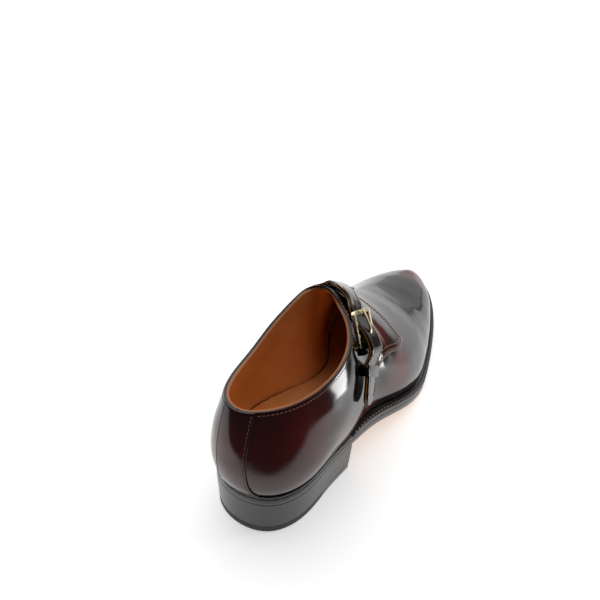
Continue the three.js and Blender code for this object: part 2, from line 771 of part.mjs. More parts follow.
function roundedRectangle(target, halfLength, halfWidth, corner) {
  target.moveTo(-halfLength + corner, -halfWidth);
  target.lineTo(halfLength - corner, -halfWidth);
  target.absarc(halfLength - corner, -halfWidth + corner, corner, -PI / 2, 0, false);
  target.lineTo(halfLength, halfWidth - corner);
  target.absarc(halfLength - corner, halfWidth - corner, corner, 0, PI / 2, false);
  target.lineTo(-halfLength + corner, halfWidth);
  target.absarc(-halfLength + corner, halfWidth - corner, corner, PI / 2, PI, false);
  target.lineTo(-halfLength, -halfWidth + corner);
  target.absarc(-halfLength + corner, -halfWidth + corner, corner, PI, 1.5 * PI, false);
  return target;
}

function buckleGeometry() {
  const halfLength = BUCKLE_LENGTH / 2;
  const halfWidth = BUCKLE_WIDTH / 2;
  const shape = roundedRectangle(new THREE.Shape(), halfLength, halfWidth, BUCKLE_CORNER);
  const inner = { length: halfLength - BUCKLE_BAR, width: halfWidth - BUCKLE_BAR };
  shape.holes.push(roundedRectangle(new THREE.Path(), inner.length, inner.width, BUCKLE_INNER_CORNER));
  const built = new THREE.ExtrudeGeometry(shape, {
    depth: BUCKLE_THICKNESS,
    bevelEnabled: false,
    curveSegments: STEPS.buckleCorner,
  });
  built.translate(0, 0, -BUCKLE_THICKNESS / 2);
  return placed(built, buckle);
}

// Draws an outline in the plane along and out, and gives it a width across
function sideProfile(points, width) {
  const shape = new THREE.Shape(points.map(([x, z]) => new THREE.Vector2(x, z)));
  const built = new THREE.ExtrudeGeometry(shape, { depth: width, bevelEnabled: false });
  built.translate(0, 0, -width / 2);
  built.rotateX(PI / 2);
  return built;
}

function prongGeometry() {
  const half = PRONG_THICKNESS / 2;
  const rest = BUCKLE_THICKNESS / 2 + GAP + half;
  const spine = [
    [barOffset - BUCKLE_BAR / 2 - PRONG_ROOT.off, PRONG_ROOT.rise],
    ...PRONG_SPINE.map((row) => [row.at * BUCKLE_LENGTH, row.rise * STRAP]),
    [-barOffset - PRONG_OVERHANG, rest],
  ];
  const offset = spine.map(([x, z], i) => {
    const [ax, az] = spine[max(i - 1, 0)];
    const [bx, bz] = spine[min(i + 1, spine.length - 1)];
    const size = hypot(bx - ax, bz - az);
    return [(-(bz - az) / size) * half, ((bx - ax) / size) * half];
  });
  const upper = spine.map(([x, z], i) => [x + offset[i][0], z + offset[i][1]]);
  const lower = spine.map(([x, z], i) => [x - offset[i][0], z - offset[i][1]]);
  return placed(sideProfile([...upper, ...lower.reverse()], PRONG_WIDTH), buckle);
}

// The leather tab holds the pivot bar and runs back under the strap onto the quarter
async function tabGeometry() {
  const bar = BUCKLE_BAR / 2 + GAP;
  const rise = BUCKLE_THICKNESS / 2 + GAP;
  const top = rise + TAB;
  const nose = barOffset - bar - TAB;
  const heel = barOffset + bar + TAB;
  const shape = new THREE.Shape([
    [nose, -0.5 * top], [nose, 0.5 * top], [nose + 0.5 * top, top], [heel - 0.5 * top, top],
    [heel, 0.4 * top], [heel, 2 * TAB - top], [heel + TAB_TAIL, 2 * TAB - top],
    [heel + TAB_TAIL, -top], [nose + 0.5 * top, -top],
  ].map(([x, z]) => new THREE.Vector2(x, z)).reverse());
  const opening = new THREE.Path([
    [barOffset - bar, -rise], [barOffset + bar, -rise],
    [barOffset + bar, rise], [barOffset - bar, rise],
  ].map(([x, z]) => new THREE.Vector2(x, z)));
  shape.holes.push(opening);
  const whole = new THREE.ExtrudeGeometry(shape, { depth: TAB_WIDTH, bevelEnabled: false });
  whole.translate(0, 0, -TAB_WIDTH / 2);
  whole.rotateX(PI / 2);
  const slot = new THREE.BoxGeometry(2 * (bar + TAB + GAP), PRONG_WIDTH + 4 * GAP, 4 * top);
  slot.translate(barOffset - GAP, 0, 0);
  const wasm = await Module();
  wasm.setup();
  const solid = (built) => {
    const bare = mergeVertices(bareCopy(built));
    return new wasm.Manifold(new wasm.Mesh({
      numProp: 3,
      vertProperties: new Float32Array(bare.attributes.position.array),
      triVerts: new Uint32Array(bare.index.array),
    }));
  };
  const cut = solid(whole).subtract(solid(slot)).getMesh();
  const built = new THREE.BufferGeometry();
  built.setAttribute('position', new THREE.Float32BufferAttribute(cut.vertProperties, 3));
  built.setIndex(Array.from(cut.triVerts));
  built.computeVertexNormals();
  return placed(built, buckle);
}

function bareCopy(built) {
  const bare = built.clone();
  bare.deleteAttribute('normal');
  bare.deleteAttribute('uv');
  return bare;
}

function keeperGeometry() {
  const low = TAIL_LIFT * STRAP - GAP;
  const high = (TAIL_LIFT + 1) * STRAP + GAP;
  const loop = (target, grow, corner) => {
    roundedRectangle(target, STRAP_WIDTH / 2 + GAP + grow, (high - low) / 2 + grow, corner);
    return target;
  };
  const shape = loop(new THREE.Shape(), KEEPER, KEEPER);
  shape.holes.push(loop(new THREE.Path(), 0, KEEPER_INNER_CORNER));
  const built = new THREE.ExtrudeGeometry(shape, {
    depth: KEEPER_LENGTH,
    bevelEnabled: false,
    curveSegments: STEPS.keeperCorner,
  });
  built.translate(0, 0, -KEEPER_LENGTH / 2);
  built.rotateX(PI / 2);
  built.rotateZ(PI / 2);
  built.translate(0, 0, (high + low) / 2);
  return placed(built, keeperFrame());
}

// Slabs of the sole and heel: flat across, between two heights that change along the shoe
function slab({ inset, bottom, top, from, to, steps, also = [] }) {
  const lines = { medial: insideLine(-1, inset), lateral: insideLine(1, inset) };
  const start = from ?? { medial: lines.medial.start, lateral: lines.lateral.start };
  const end = to ?? { medial: lines.medial.end, lateral: lines.lateral.end };
  const ways = Array.from({ length: steps + 1 }, (_, k) => {
    if (!from && !to) return (1 - cos((PI * k) / steps)) / 2;
    return from ? k / steps : 1 - cos((PI * k) / (2 * steps));
  });
  const reach = end.medial - start.medial;
  ways.push(...also.map((length) => (length - start.medial) / reach));
  ways.sort((a, b) => a - b);
  const high = [];
  const low = [];
  const columns = [[], []];
  ways.forEach((way, k) => {
    const closed = (k === 0 && !from) || (k === ways.length - 1 && !to);
    ['medial', 'lateral'].forEach((side, c) => {
      if (closed && c === 1) {
        columns[1].push(high.length - 1);
        return;
      }
      const length = lerp(start[side], end[side], way);
      const x = lines[side].across(length);
      columns[c].push(high.length);
      high.push(vector(x, length, top(length)));
      low.push(vector(x, length, bottom(length)));
    });
  });
  return thicken([...high, ...low], high.length, gridQuads(columns));
}

// A band round the edge of the sole, between two insets, over the way from one side to the other
function band({ outer, inner, bottom, top, rear, steps }) {
  const high = [];
  const low = [];
  const columns = [[], []];
  const lines = [outer, inner].map((inset) => ({ 1: insideLine(1, inset), '-1': insideLine(-1, inset) }));
  const order = rear ? [-1, 1] : [1, -1];
  const breast = HEEL_LENGTH + (rear ? -GAP / 2 : GAP / 2);
  const far = rear ? 0 : 1;
  order.forEach((side, turn) => {
    for (let k = 0; k <= steps; k += 1) {
      if (turn === 1 && k === 0) continue;
      lines.forEach((line, c) => {
        const near = line[side].shareAt(breast);
        const way = k / steps;
        const share = turn === 0 ? lerp(near, far, way) : lerp(far, near, way);
        const point = line[side].atShare(share);
        columns[c].push(high.length);
        high.push(vector(point.x, point.y, top(point.y)));
        low.push(vector(point.x, point.y, bottom(point.y)));
      });
    }
  });
  return thicken([...high, ...low], high.length, gridQuads([columns[1], columns[0]]));
}

const flush = () => 0;
const innerWall = (length) => ledge(length) + GAP + OVERLAY + WALL;
const liftHeight = (SEAT_FRONT_HEIGHT - GAP - TOPLIFT) / LIFT_COUNT;
const heelEnd = { medial: HEEL_LENGTH, lateral: HEEL_LENGTH };
const joint = (gap) => ({
  medial: TOPLIFT_JOINT.medial * HEEL_LENGTH + gap,
  lateral: TOPLIFT_JOINT.lateral * HEEL_LENGTH + gap,
});

// The pieces, from the floor up
const leatherBlack = { color: '#1c1413', roughness: 0.45 };
const burgundy = { color: '#3b0f08', roughness: 0.12 };
const tan = { color: '#a8621c', roughness: 0.6 };
const heelLeather = { color: '#2a1a17', roughness: 0.35 };
const rubber = { color: '#24272b', roughness: 0.7 };
const gold = { color: '#d9c07a', roughness: 0.18, metalness: 1 };

const shoe = new THREE.Group();
function add(name, built, finish) {
  const mesh = new THREE.Mesh(built, new THREE.MeshStandardMaterial(finish));
  mesh.name = name;
  shoe.add(mesh);
}

const toplift = { inset: () => HEEL_TAPER, bottom: () => 0, top: () => TOPLIFT };
add('toplift_rubber', slab({ ...toplift, to: joint(0), steps: STEPS.topliftRubber }), rubber);
add('toplift_leather', slab({
  ...toplift, from: joint(GAP), to: heelEnd, steps: STEPS.topliftLeather,
}), tan);
for (let k = 0; k < LIFT_COUNT; k += 1) {
  const under = TOPLIFT + k * liftHeight;
  const over = k === LIFT_COUNT - 1 ? (length) => soleBottom(length) - GAP : () => under + liftHeight;
  const inset = HEEL_TAPER * (1 - (k + 1) / LIFT_COUNT);
  add(`heel_lift_${k + 1}`, slab({
    inset: () => inset, bottom: () => under, top: over, to: heelEnd, steps: STEPS.heelLift,
  }), heelLeather);
}
add('outsole', slab({
  inset: flush,
  bottom: soleBottom,
  top: soleTop,
  steps: STEPS.outsole,
  also: [HEEL_LENGTH, treadBack, treadFront],
}), tan);
const edging = { outer: flush, inner: innerWall, bottom: weltBottom, top: weltTop };
add('welt', band({ ...edging, rear: false, steps: STEPS.welt }), leatherBlack);
add('heel_rand', band({ ...edging, rear: true, steps: STEPS.rand }), leatherBlack);
add('insole', slab({
  inset: (length) => innerWall(length) + 2 * GAP,
  bottom: (length) => soleTop(length) + GAP,
  top: (length) => weltTop(length) + INSOLE_ABOVE_WELT,
  steps: STEPS.insole,
}), tan);
add('upper', upperGeometry(), burgundy);
add('quarter_lateral', quarterGeometry(1, LATERAL_SEAM), burgundy);
add('quarter_medial', quarterGeometry(-1, MEDIAL_SEAM), burgundy);
add('back_strip', backStripGeometry(), burgundy);
add('tongue', tongueGeometry(), burgundy);
add('strap', strapGeometry(), burgundy);
add('buckle_frame', buckleGeometry(), gold);
add('buckle_prong', prongGeometry(), gold);
add('buckle_tab', await tabGeometry(), burgundy);
add('strap_keeper', keeperGeometry(), burgundy);

export default shoe;
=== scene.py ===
# A monk strap shoe for the right foot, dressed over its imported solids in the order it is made
import math
import bpy
import numpy as np
from mathutils import Matrix, Vector


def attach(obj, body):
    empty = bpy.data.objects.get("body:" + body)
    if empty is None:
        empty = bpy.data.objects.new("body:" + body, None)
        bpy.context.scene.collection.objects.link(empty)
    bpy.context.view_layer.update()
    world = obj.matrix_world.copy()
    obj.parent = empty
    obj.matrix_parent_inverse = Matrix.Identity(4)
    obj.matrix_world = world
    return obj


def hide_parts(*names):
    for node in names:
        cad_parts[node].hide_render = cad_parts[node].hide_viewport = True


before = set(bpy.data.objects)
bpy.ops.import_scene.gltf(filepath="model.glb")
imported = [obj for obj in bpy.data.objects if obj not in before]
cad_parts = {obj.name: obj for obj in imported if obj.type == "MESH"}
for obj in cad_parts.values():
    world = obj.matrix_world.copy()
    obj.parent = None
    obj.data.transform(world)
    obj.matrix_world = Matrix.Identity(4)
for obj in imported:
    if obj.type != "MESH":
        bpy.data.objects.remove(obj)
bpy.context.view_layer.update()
bpy.ops.object.select_all(action="DESELECT")

# The last
# The wooden form that the shoe is pulled over. Every leather lies on it, so its lines give each
# piece its place. Lengths are in millimetres from the back of the heel, as a shoemaker measures.
MM = 0.001
SOLE_LENGTH = 304
BALL_WIDTH = 104
INSTEP_RISE = 86
HEEL_BACK_RISE = 62.5
HEEL_LENGTH = 74
HEEL_CENTRE = 34
SEAT_BACK_HEIGHT = 28
SEAT_FRONT_HEIGHT = 25.2
TOE_SPRING = 12
TREAD_BACK = 0.632 * SOLE_LENGTH
TREAD_FRONT = 0.704 * SOLE_LENGTH
OUTSOLE = 5.4
WELT = 3.1
RAND = 2.2
LEDGE_FOREPART = 4.6
LEDGE_HEEL = 0.9
GAP = 0.3
COLLAR_SHARE = 0.43
TOE_CROWDING = 1.25
CREST = 0.45

# The sole's outline: share of the length, then inner and outer half width as shares of the ball
OUTLINE = [
    (0.020, 0.190, 0.187), (0.079, 0.303, 0.300), (0.165, 0.327, 0.337), (0.245, 0.278, 0.375),
    (0.345, 0.195, 0.430), (0.460, 0.228, 0.520), (0.560, 0.370, 0.545), (0.645, 0.455, 0.508),
    (0.740, 0.466, 0.443), (0.840, 0.393, 0.352), (0.920, 0.287, 0.243), (0.972, 0.170, 0.125),
]
TOE_TIP = -0.026

# The collar's rim: length, across, rise, and the share of the rise that follows the instep
COLLAR = [
    (0.0125, -0.010, 0.995, 0.00), (0.028, 0.101, 1.010, 0.00), (0.066, 0.202, 1.020, 0.00),
    (0.122, 0.262, 1.000, 0.02), (0.184, 0.288, 0.985, 0.10), (0.237, 0.279, 0.965, 0.30),
    (0.276, 0.242, 0.945, 0.56), (0.311, 0.163, 0.950, 0.80), (0.339, 0.042, 0.980, 0.95),
    (0.354, -0.072, 1.000, 1.00), (0.340, -0.156, 0.985, 0.95), (0.312, -0.198, 0.960, 0.80),
    (0.272, -0.228, 0.945, 0.53), (0.227, -0.246, 0.955, 0.25), (0.168, -0.244, 0.935, 0.07),
    (0.105, -0.221, 0.945, 0.01), (0.0625, -0.187, 0.965, 0.00), (0.026, -0.120, 0.985, 0.00),
]
COLLAR_FRONT = 9

# The ridge of the instep: length, across and rise
RIDGE = [
    (0.354, -0.072, 1.000), (0.411, -0.091, 0.940), (0.493, -0.106, 0.836), (0.576, -0.115, 0.748),
    (0.658, -0.115, 0.634), (0.757, -0.096, 0.512), (0.839, -0.077, 0.405), (0.901, -0.058, 0.312),
]

# The wall by the way from heel to toe: lean and pull at the welt, lean and pull at the top
WALLS = {
    1: [
        (0.00, 34, 0.22, 22, 0.36), (0.10, 32, 0.24, 26, 0.36), (0.22, 20, 0.36, 30, 0.36),
        (0.34, 13, 0.40, 15, 0.34), (0.43, 14, 0.42, 1, 0.42), (0.55, 20, 0.46, 0, 0.46),
        (0.70, 22, 0.50, 0, 0.50), (0.85, 20, 0.56, 0, 0.54), (1.00, 14, 0.62, 0, 0.62),
    ],
    -1: [
        (0.00, 34, 0.22, 22, 0.36), (0.10, 30, 0.26, 18, 0.36), (0.22, 18, 0.40, 14, 0.36),
        (0.34, 18, 0.42, 12, 0.36), (0.43, 22, 0.40, 0, 0.42), (0.55, 24, 0.42, 0, 0.42),
        (0.70, 22, 0.48, 0, 0.46), (0.85, 18, 0.56, 0, 0.50), (1.00, 14, 0.62, 0, 0.62),
    ],
}


def cubic(knots, values, bend, t):
    i = np.clip(np.searchsorted(knots, t, side="right") - 1, 0, len(knots) - 2)
    h, u, v = knots[i + 1] - knots[i], knots[i + 1] - t, t - knots[i]
    return ((bend[i] * u ** 3 + bend[i + 1] * v ** 3) / (6 * h)
            + (values[i] / h - bend[i] * h / 6) * u + (values[i + 1] / h - bend[i + 1] * h / 6) * v)


def open_spline(rows, column):
    knots = np.array([row[0] for row in rows], float)
    values = np.array([row[column] for row in rows], float)
    n = len(knots)
    matrix, right = np.eye(n), np.zeros(n)
    for i in range(1, n - 1):
        before, after = knots[i] - knots[i - 1], knots[i + 1] - knots[i]
        matrix[i, i - 1:i + 2] = before, 2 * (before + after), after
        right[i] = 6 * ((values[i + 1] - values[i]) / after - (values[i] - values[i - 1]) / before)
    bend = np.linalg.solve(matrix, right)
    return lambda t: cubic(knots, values, bend, np.asarray(t, float))


def closed_spline(points):
    points = np.array(points, float)
    n = len(points)
    steps = np.linalg.norm(np.roll(points, -1, 0) - points, axis=1)
    knots = np.concatenate([[0], np.cumsum(steps)])
    matrix, right = np.zeros((n, n)), np.zeros(points.shape)
    for i in range(n):
        before, after = (i - 1) % n, (i + 1) % n
        matrix[i, before] += steps[before]
        matrix[i, i] += 2 * (steps[before] + steps[i])
        matrix[i, after] += steps[i]
        right[i] = 6 * ((points[after] - points[i]) / steps[i]
                        - (points[i] - points[before]) / steps[before])
    bend = np.linalg.solve(matrix, right)
    values, bend = np.vstack([points, points[:1]]), np.vstack([bend, bend[:1]])

    def at(share):
        t = np.mod(np.asarray(share, float), 1) * knots[-1]
        return np.stack([cubic(knots, values[:, k], bend[:, k], t) for k in range(points.shape[1])], -1)
    return at, knots / knots[-1]


def ease(start, end, value):
    t = np.clip((np.asarray(value, float) - start) / (end - start), 0, 1)
    return t * t * (3 - 2 * t)


def mix(a, b, t):
    return a + (b - a) * t


def unit(v):
    return v / np.maximum(np.linalg.norm(v, axis=-1, keepdims=True), 1e-9)


def sole_bottom(y):
    y = np.asarray(y, float)
    slope = (SEAT_FRONT_HEIGHT - SEAT_BACK_HEIGHT) / HEEL_LENGTH
    span = TREAD_BACK - HEEL_LENGTH
    t = np.clip((y - HEEL_LENGTH) / span, 0, 1)
    arch = SEAT_FRONT_HEIGHT * (1 + 2 * t) * (1 - t) ** 2 + slope * span * t * (1 - t) ** 2
    spring = TOE_SPRING * (np.maximum(y - TREAD_FRONT, 0) / (SOLE_LENGTH - TREAD_FRONT)) ** 1.8
    return np.where(y < HEEL_LENGTH, SEAT_BACK_HEIGHT + slope * y, np.where(y < TREAD_BACK, arch, spring))


def welt_top(y):
    return sole_bottom(y) + OUTSOLE + GAP + mix(RAND, WELT, ease(HEEL_LENGTH * 0.85, HEEL_LENGTH * 1.35, y))


def ledge(y):
    return mix(LEDGE_HEEL, LEDGE_FOREPART, ease(HEEL_LENGTH * 0.74, HEEL_LENGTH * 1.5, y))


outline, outline_shares = closed_spline(
    [(0, 0)] + [(lat * BALL_WIDTH, at * SOLE_LENGTH) for at, med, lat in OUTLINE]
    + [(TOE_TIP * BALL_WIDTH, SOLE_LENGTH)]
    + [(-med * BALL_WIDTH, at * SOLE_LENGTH) for at, med, lat in reversed(OUTLINE)])


def inside_line(side, inset):
    share = np.linspace(0 if side > 0 else 1, outline_shares[len(OUTLINE) + 1], 401)
    spot, step = outline(share), outline(share + 1e-4) - outline(share - 1e-4)
    out = unit(np.stack([step[:, 1], -step[:, 0]], -1))
    line = spot - out * inset(spot[:, 1])[:, None]
    run = np.concatenate([[0], np.cumsum(np.linalg.norm(np.diff(line, axis=0), axis=1))])
    return line, out, run / run[-1]


collar_at, collar_shares = closed_spline(
    [(x * BALL_WIDTH, y * SOLE_LENGTH,
      welt_top(y * SOLE_LENGTH) + GAP + rise * mix(HEEL_BACK_RISE, INSTEP_RISE, front))
     for y, x, rise, front in COLLAR])


def collar_line(side):
    spots = collar_at(np.linspace(0 if side > 0 else 1, collar_shares[COLLAR_FRONT], 401))
    run = np.concatenate([[0], np.cumsum(np.linalg.norm(np.diff(spots, axis=0), axis=1))])
    return spots, run / run[-1]


ridge_across, ridge_rise = open_spline(RIDGE, 1), open_spline(RIDGE, 2)
feathers = {side: inside_line(side, ledge) for side in (1, -1)}
collars = {side: collar_line(side) for side in (1, -1)}
leans = {side: [open_spline(WALLS[side], column) for column in (1, 2, 3, 4)] for side in (1, -1)}


def ridge_point(at):
    y = at * SOLE_LENGTH
    return np.stack([ridge_across(at) * BALL_WIDTH, y, welt_top(y) + GAP + ridge_rise(at) * INSTEP_RISE], -1)


def wall_curve(side, share):
    line, out, run = feathers[side]
    foot = [np.interp(share, run, line[:, k]) for k in (0, 1)]
    outward = unit(np.stack([np.interp(share, run, out[:, 0]), np.interp(share, run, out[:, 1]),
                             np.zeros_like(share)], -1))
    base = np.stack([foot[0], foot[1], welt_top(foot[1]) + GAP], -1)
    way = 1 - (1 - np.clip((share - COLLAR_SHARE) / (1 - COLLAR_SHARE), 0, 1)) ** TOE_CROWDING
    at = mix(RIDGE[0][0], RIDGE[-1][0], way)
    step = 1 / SOLE_LENGTH
    slope = np.where(share < COLLAR_SHARE, 0, (ridge_point(at + step) - ridge_point(at - step))[..., 2] / 2)
    spots, collar_run = collars[side]
    rim = np.stack([np.interp(share / COLLAR_SHARE, collar_run, spots[:, k]) for k in range(3)], -1)
    top = np.where((share < COLLAR_SHARE)[..., None], rim, ridge_point(at))
    lean, pull, top_lean, top_pull = (curve(share) for curve in leans[side])
    lean, top_lean = np.radians(lean)[..., None], np.radians(top_lean)[..., None]
    height = (top - base)[..., 2:]
    plumb = np.array([0, 0, 1.0])
    low = base + (outward * np.sin(lean) + plumb * np.cos(lean)) * pull[..., None] * height
    across = (base - top) * np.array([1, 1, 0])
    width = np.maximum(np.linalg.norm(across, axis=-1, keepdims=True), CREST * height)
    across = unit(across)
    over = across.copy()
    over[..., 2] = slope * across[..., 1]
    over = unit(over) * top_pull[..., None] * width
    down = (outward * np.sin(top_lean) - plumb * np.cos(top_lean)) * top_pull[..., None] * height
    turn = ease(COLLAR_SHARE - 0.16, COLLAR_SHARE, share)[..., None]
    return base, low, top + mix(down, over, turn), top, slope


def wall_point(side, share, up):
    share, up = np.broadcast_arrays(np.asarray(share, float), np.asarray(up, float))
    a, b, c, d, _ = wall_curve(side, share)
    t = up[..., None]
    return a * (1 - t) ** 3 + b * 3 * (1 - t) ** 2 * t + c * 3 * (1 - t) * t * t + d * t ** 3


def wall_normal(side, share, up):
    share, up = np.broadcast_arrays(np.asarray(share, float), np.asarray(up, float))
    near = 1e-3
    along = (wall_point(side, np.minimum(share + near, 1), up)
             - wall_point(side, np.maximum(share - near, 0), up))
    rise = (wall_point(side, share, np.minimum(up + near, 1))
            - wall_point(side, share, np.maximum(up - near, 0)))
    normal = unit(np.cross(along, rise) * side)
    slope = wall_curve(side, share)[4]
    crest = unit(np.stack([np.zeros_like(slope), -slope, np.ones_like(slope)], -1))
    return np.where(((up > 0.999) & (share >= COLLAR_SHARE))[..., None], crest, normal)


def on_last(side, share, up, height=0.0):
    height = np.asarray(height, float)[..., None]
    return wall_point(side, share, up) + wall_normal(side, share, up) * height


def over_ridge(share, down, height):
    share, down = np.broadcast_arrays(np.asarray(share, float), np.asarray(down, float))
    lateral = on_last(1, share, 1 - np.abs(down), height)
    medial = on_last(-1, share, 1 - np.abs(down), height)
    return np.where((down < 0)[..., None], medial, lateral)


def in_metres(points):
    return (points - np.array([0, HEEL_CENTRE, 0])) * MM


# The upper's shell
# Box calf over a leather lining, lasted and welted. The vamp is its outer face in front, and the
# tan lining is its inner face, which turns up into a thin orange line along the collar.
UPPER_OUTSIDE = -1.5
UPPER_WALL = 1.5
UPPER_ROWS = 40
RIM_COLUMNS = 56
RIDGE_COLUMNS = 86
TURN_REACH = 0.016
CREASE_AT = 0.19
CREASE_REACH = 0.05
CREASE_DEPTH = 0.07
CREASE_PITCH = 13
BURGUNDY = "#520f0a"
EMBER = "#5e1e12"

# Where the black is worn through: the middle and reach of each place in metres, and its colour
WORN = [
    ((0.025, -0.019, 0.070), 0.050, BURGUNDY), ((0.000, -0.042, 0.068), 0.042, BURGUNDY),
    ((0.050, 0.060, 0.045), 0.024, BURGUNDY), ((0.046, 0.100, 0.050), 0.024, BURGUNDY),
    ((-0.040, -0.012, 0.052), 0.040, BURGUNDY), ((0.034, 0.088, 0.088), 0.024, BURGUNDY),
    ((-0.002, 0.262, 0.030), 0.050, EMBER),
]

# The unevenness of the leather: length of the wave, its two angles, its start and its depth
WAVES = [
    (46, 0.3, 0.4, 0.2, 0.10), (31, 1.4, 0.9, 1.7, 0.07),
    (23, 2.3, -0.6, 3.1, 0.05), (17, 0.9, 1.5, 5.2, 0.03),
]


def linear(code):
    parts = [int(code[i:i + 2], 16) / 255 for i in (1, 3, 5)]
    return [c / 12.92 if c <= 0.04045 else ((c + 0.055) / 1.055) ** 2.4 for c in parts] + [1.0]


def add(tree, kind, inputs=None, **settings):
    made = tree.nodes.new(kind)
    for key, value in settings.items():
        setattr(made, key, value)
    for key, value in (inputs or {}).items():
        if isinstance(value, bpy.types.NodeSocket):
            tree.links.new(value, made.inputs[key])
        else:
            made.inputs[key].default_value = value
    return made


# The places of a Mix node's two colours and of its result among its sockets
MIX_A, MIX_B, MIX_RESULT = 6, 7, 2


def new_material(name):
    made = bpy.data.materials.new(name)
    made.use_nodes = True
    made.node_tree.nodes.clear()
    return made, made.node_tree


def finish_material(tree, shader):
    out = add(tree, "ShaderNodeOutputMaterial")
    tree.links.new(shader.outputs[0], out.inputs["Surface"])


def lay_grid(name, points):
    rows, columns = points.shape[:2]
    bpy.ops.mesh.primitive_grid_add(x_subdivisions=columns - 1, y_subdivisions=rows - 1)
    piece = bpy.context.object
    piece.name = name
    piece.data.name = name
    piece.data.vertices.foreach_set("co", in_metres(points).astype(np.float32).ravel())
    piece.data.update()
    return piece


def apply_modifier(piece, kind, **settings):
    bpy.context.view_layer.objects.active = piece
    modifier = piece.modifiers.new(kind.title(), kind)
    for key, value in settings.items():
        setattr(modifier, key, value)
    bpy.ops.object.modifier_apply(modifier=modifier.name)


def merge(piece, distance=0.00002):
    bpy.ops.object.select_all(action="DESELECT")
    piece.select_set(True)
    bpy.context.view_layer.objects.active = piece
    bpy.ops.object.mode_set(mode="EDIT")
    bpy.ops.mesh.select_all(action="SELECT")
    bpy.ops.mesh.remove_doubles(threshold=distance)
    bpy.ops.object.mode_set(mode="OBJECT")


def smooth(piece, degrees=50):
    bpy.ops.object.select_all(action="DESELECT")
    piece.select_set(True)
    bpy.context.view_layer.objects.active = piece
    bpy.ops.object.shade_smooth_by_angle(angle=math.radians(degrees))


def wall_leather(piece, thickness, outside, inside, edge, roll):
    for material in (outside, inside, edge):
        piece.data.materials.append(material)
    apply_modifier(piece, "SOLIDIFY", thickness=thickness * MM, offset=-1,
                   material_offset=1, material_offset_rim=2)
    apply_modifier(piece, "BEVEL", width=roll * MM, segments=2, limit_method="ANGLE",
                   angle_limit=math.radians(50), use_clamp_overlap=True)
    smooth(piece)


def belongs(piece, slot, *nodes):
    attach(piece, "root")
    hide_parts(*nodes)


# Box calf, burnished by hand and glazed: near black, worn through to burgundy at toe and counter.
# The glaze mirrors like glass, over pores of half a millimetre and the slow pull of the hide.
def burnished_calf(name, dark, worn_places):
    made, tree = new_material(name)
    place = add(tree, "ShaderNodeTexCoord").outputs["Object"]
    cloud = add(tree, "ShaderNodeTexNoise", {
        "Vector": place, "Scale": 28.0, "Detail": 3.0, "Roughness": 0.55})
    colour = linear(dark)
    for centre, reach, shade in worn_places:
        near = add(tree, "ShaderNodeVectorMath", {0: place, 1: centre}, operation="DISTANCE")
        worn = add(tree, "ShaderNodeMapRange", {
            "Value": near.outputs["Value"], "From Min": reach, "From Max": reach * 0.15},
            interpolation_type="SMOOTHSTEP")
        patchy = add(tree, "ShaderNodeMath", {0: worn.outputs[0], 1: cloud.outputs["Fac"]},
                     operation="MULTIPLY")
        strong = add(tree, "ShaderNodeMath", {0: patchy.outputs[0], 1: 1.7},
                     operation="MULTIPLY", use_clamp=True)
        blend = add(tree, "ShaderNodeMix", {0: strong.outputs[0], MIX_A: colour, MIX_B: linear(shade)},
                    data_type="RGBA")
        colour = blend.outputs[MIX_RESULT]
    pores = add(tree, "ShaderNodeTexNoise", {"Vector": place, "Scale": 1600.0, "Detail": 2.0})
    pull = add(tree, "ShaderNodeTexNoise", {"Vector": place, "Scale": 55.0, "Detail": 1.0})
    soft = add(tree, "ShaderNodeBump", {"Height": pull.outputs["Fac"], "Strength": 0.25, "Distance": 0.0012})
    grain = add(tree, "ShaderNodeBump", {
        "Height": pores.outputs["Fac"], "Strength": 0.10, "Distance": 0.00006, "Normal": soft.outputs[0]})
    shader = add(tree, "ShaderNodeBsdfPrincipled", {
        "Base Color": colour, "Roughness": 0.11, "IOR": 1.45, "Normal": grain.outputs[0]})
    finish_material(tree, shader)
    return made


# Vegetable tanned lining calf, undressed, so it is matt and a little uneven
def plain_leather(name, shade, darker, roughness, patch=22.0, pore=900.0, depth=0.00008):
    made, tree = new_material(name)
    place = add(tree, "ShaderNodeTexCoord").outputs["Object"]
    cloud = add(tree, "ShaderNodeTexNoise", {"Vector": place, "Scale": patch, "Detail": 4.0})
    ramp = add(tree, "ShaderNodeValToRGB", {"Fac": cloud.outputs["Fac"]})
    ramp.color_ramp.elements[0].position, ramp.color_ramp.elements[0].color = 0.32, linear(darker)
    ramp.color_ramp.elements[1].position, ramp.color_ramp.elements[1].color = 0.68, linear(shade)
    pores = add(tree, "ShaderNodeTexNoise", {"Vector": place, "Scale": pore, "Detail": 3.0})
    grain = add(tree, "ShaderNodeBump", {"Height": pores.outputs["Fac"], "Strength": 0.35, "Distance": depth})
    shader = add(tree, "ShaderNodeBsdfPrincipled", {
        "Base Color": ramp.outputs["Color"], "Roughness": roughness, "Normal": grain.outputs[0]})
    finish_material(tree, shader)
    return made


calf = burnished_calf("burnished_box_calf", "#0b0505", WORN)
lining = plain_leather("tan_lining_calf", "#f0b474", "#dc9a56", 0.5)
orange_edge = plain_leather("cut_lining_edge", "#a8622a", "#8a4c1c", 0.5)
black_edge = plain_leather("dressed_black_edge", "#15100f", "#0c0808", 0.38)


def wave(points):
    """The slight unevenness of leather pulled over a last, in millimetres"""
    total = 0
    for size, angle, tilt, shift, depth in WAVES:
        way = np.array([math.cos(angle) * math.cos(tilt), math.sin(angle) * math.cos(tilt), math.sin(tilt)])
        total = total + depth * np.sin(points @ way * 2 * math.pi / size + shift)
    return total


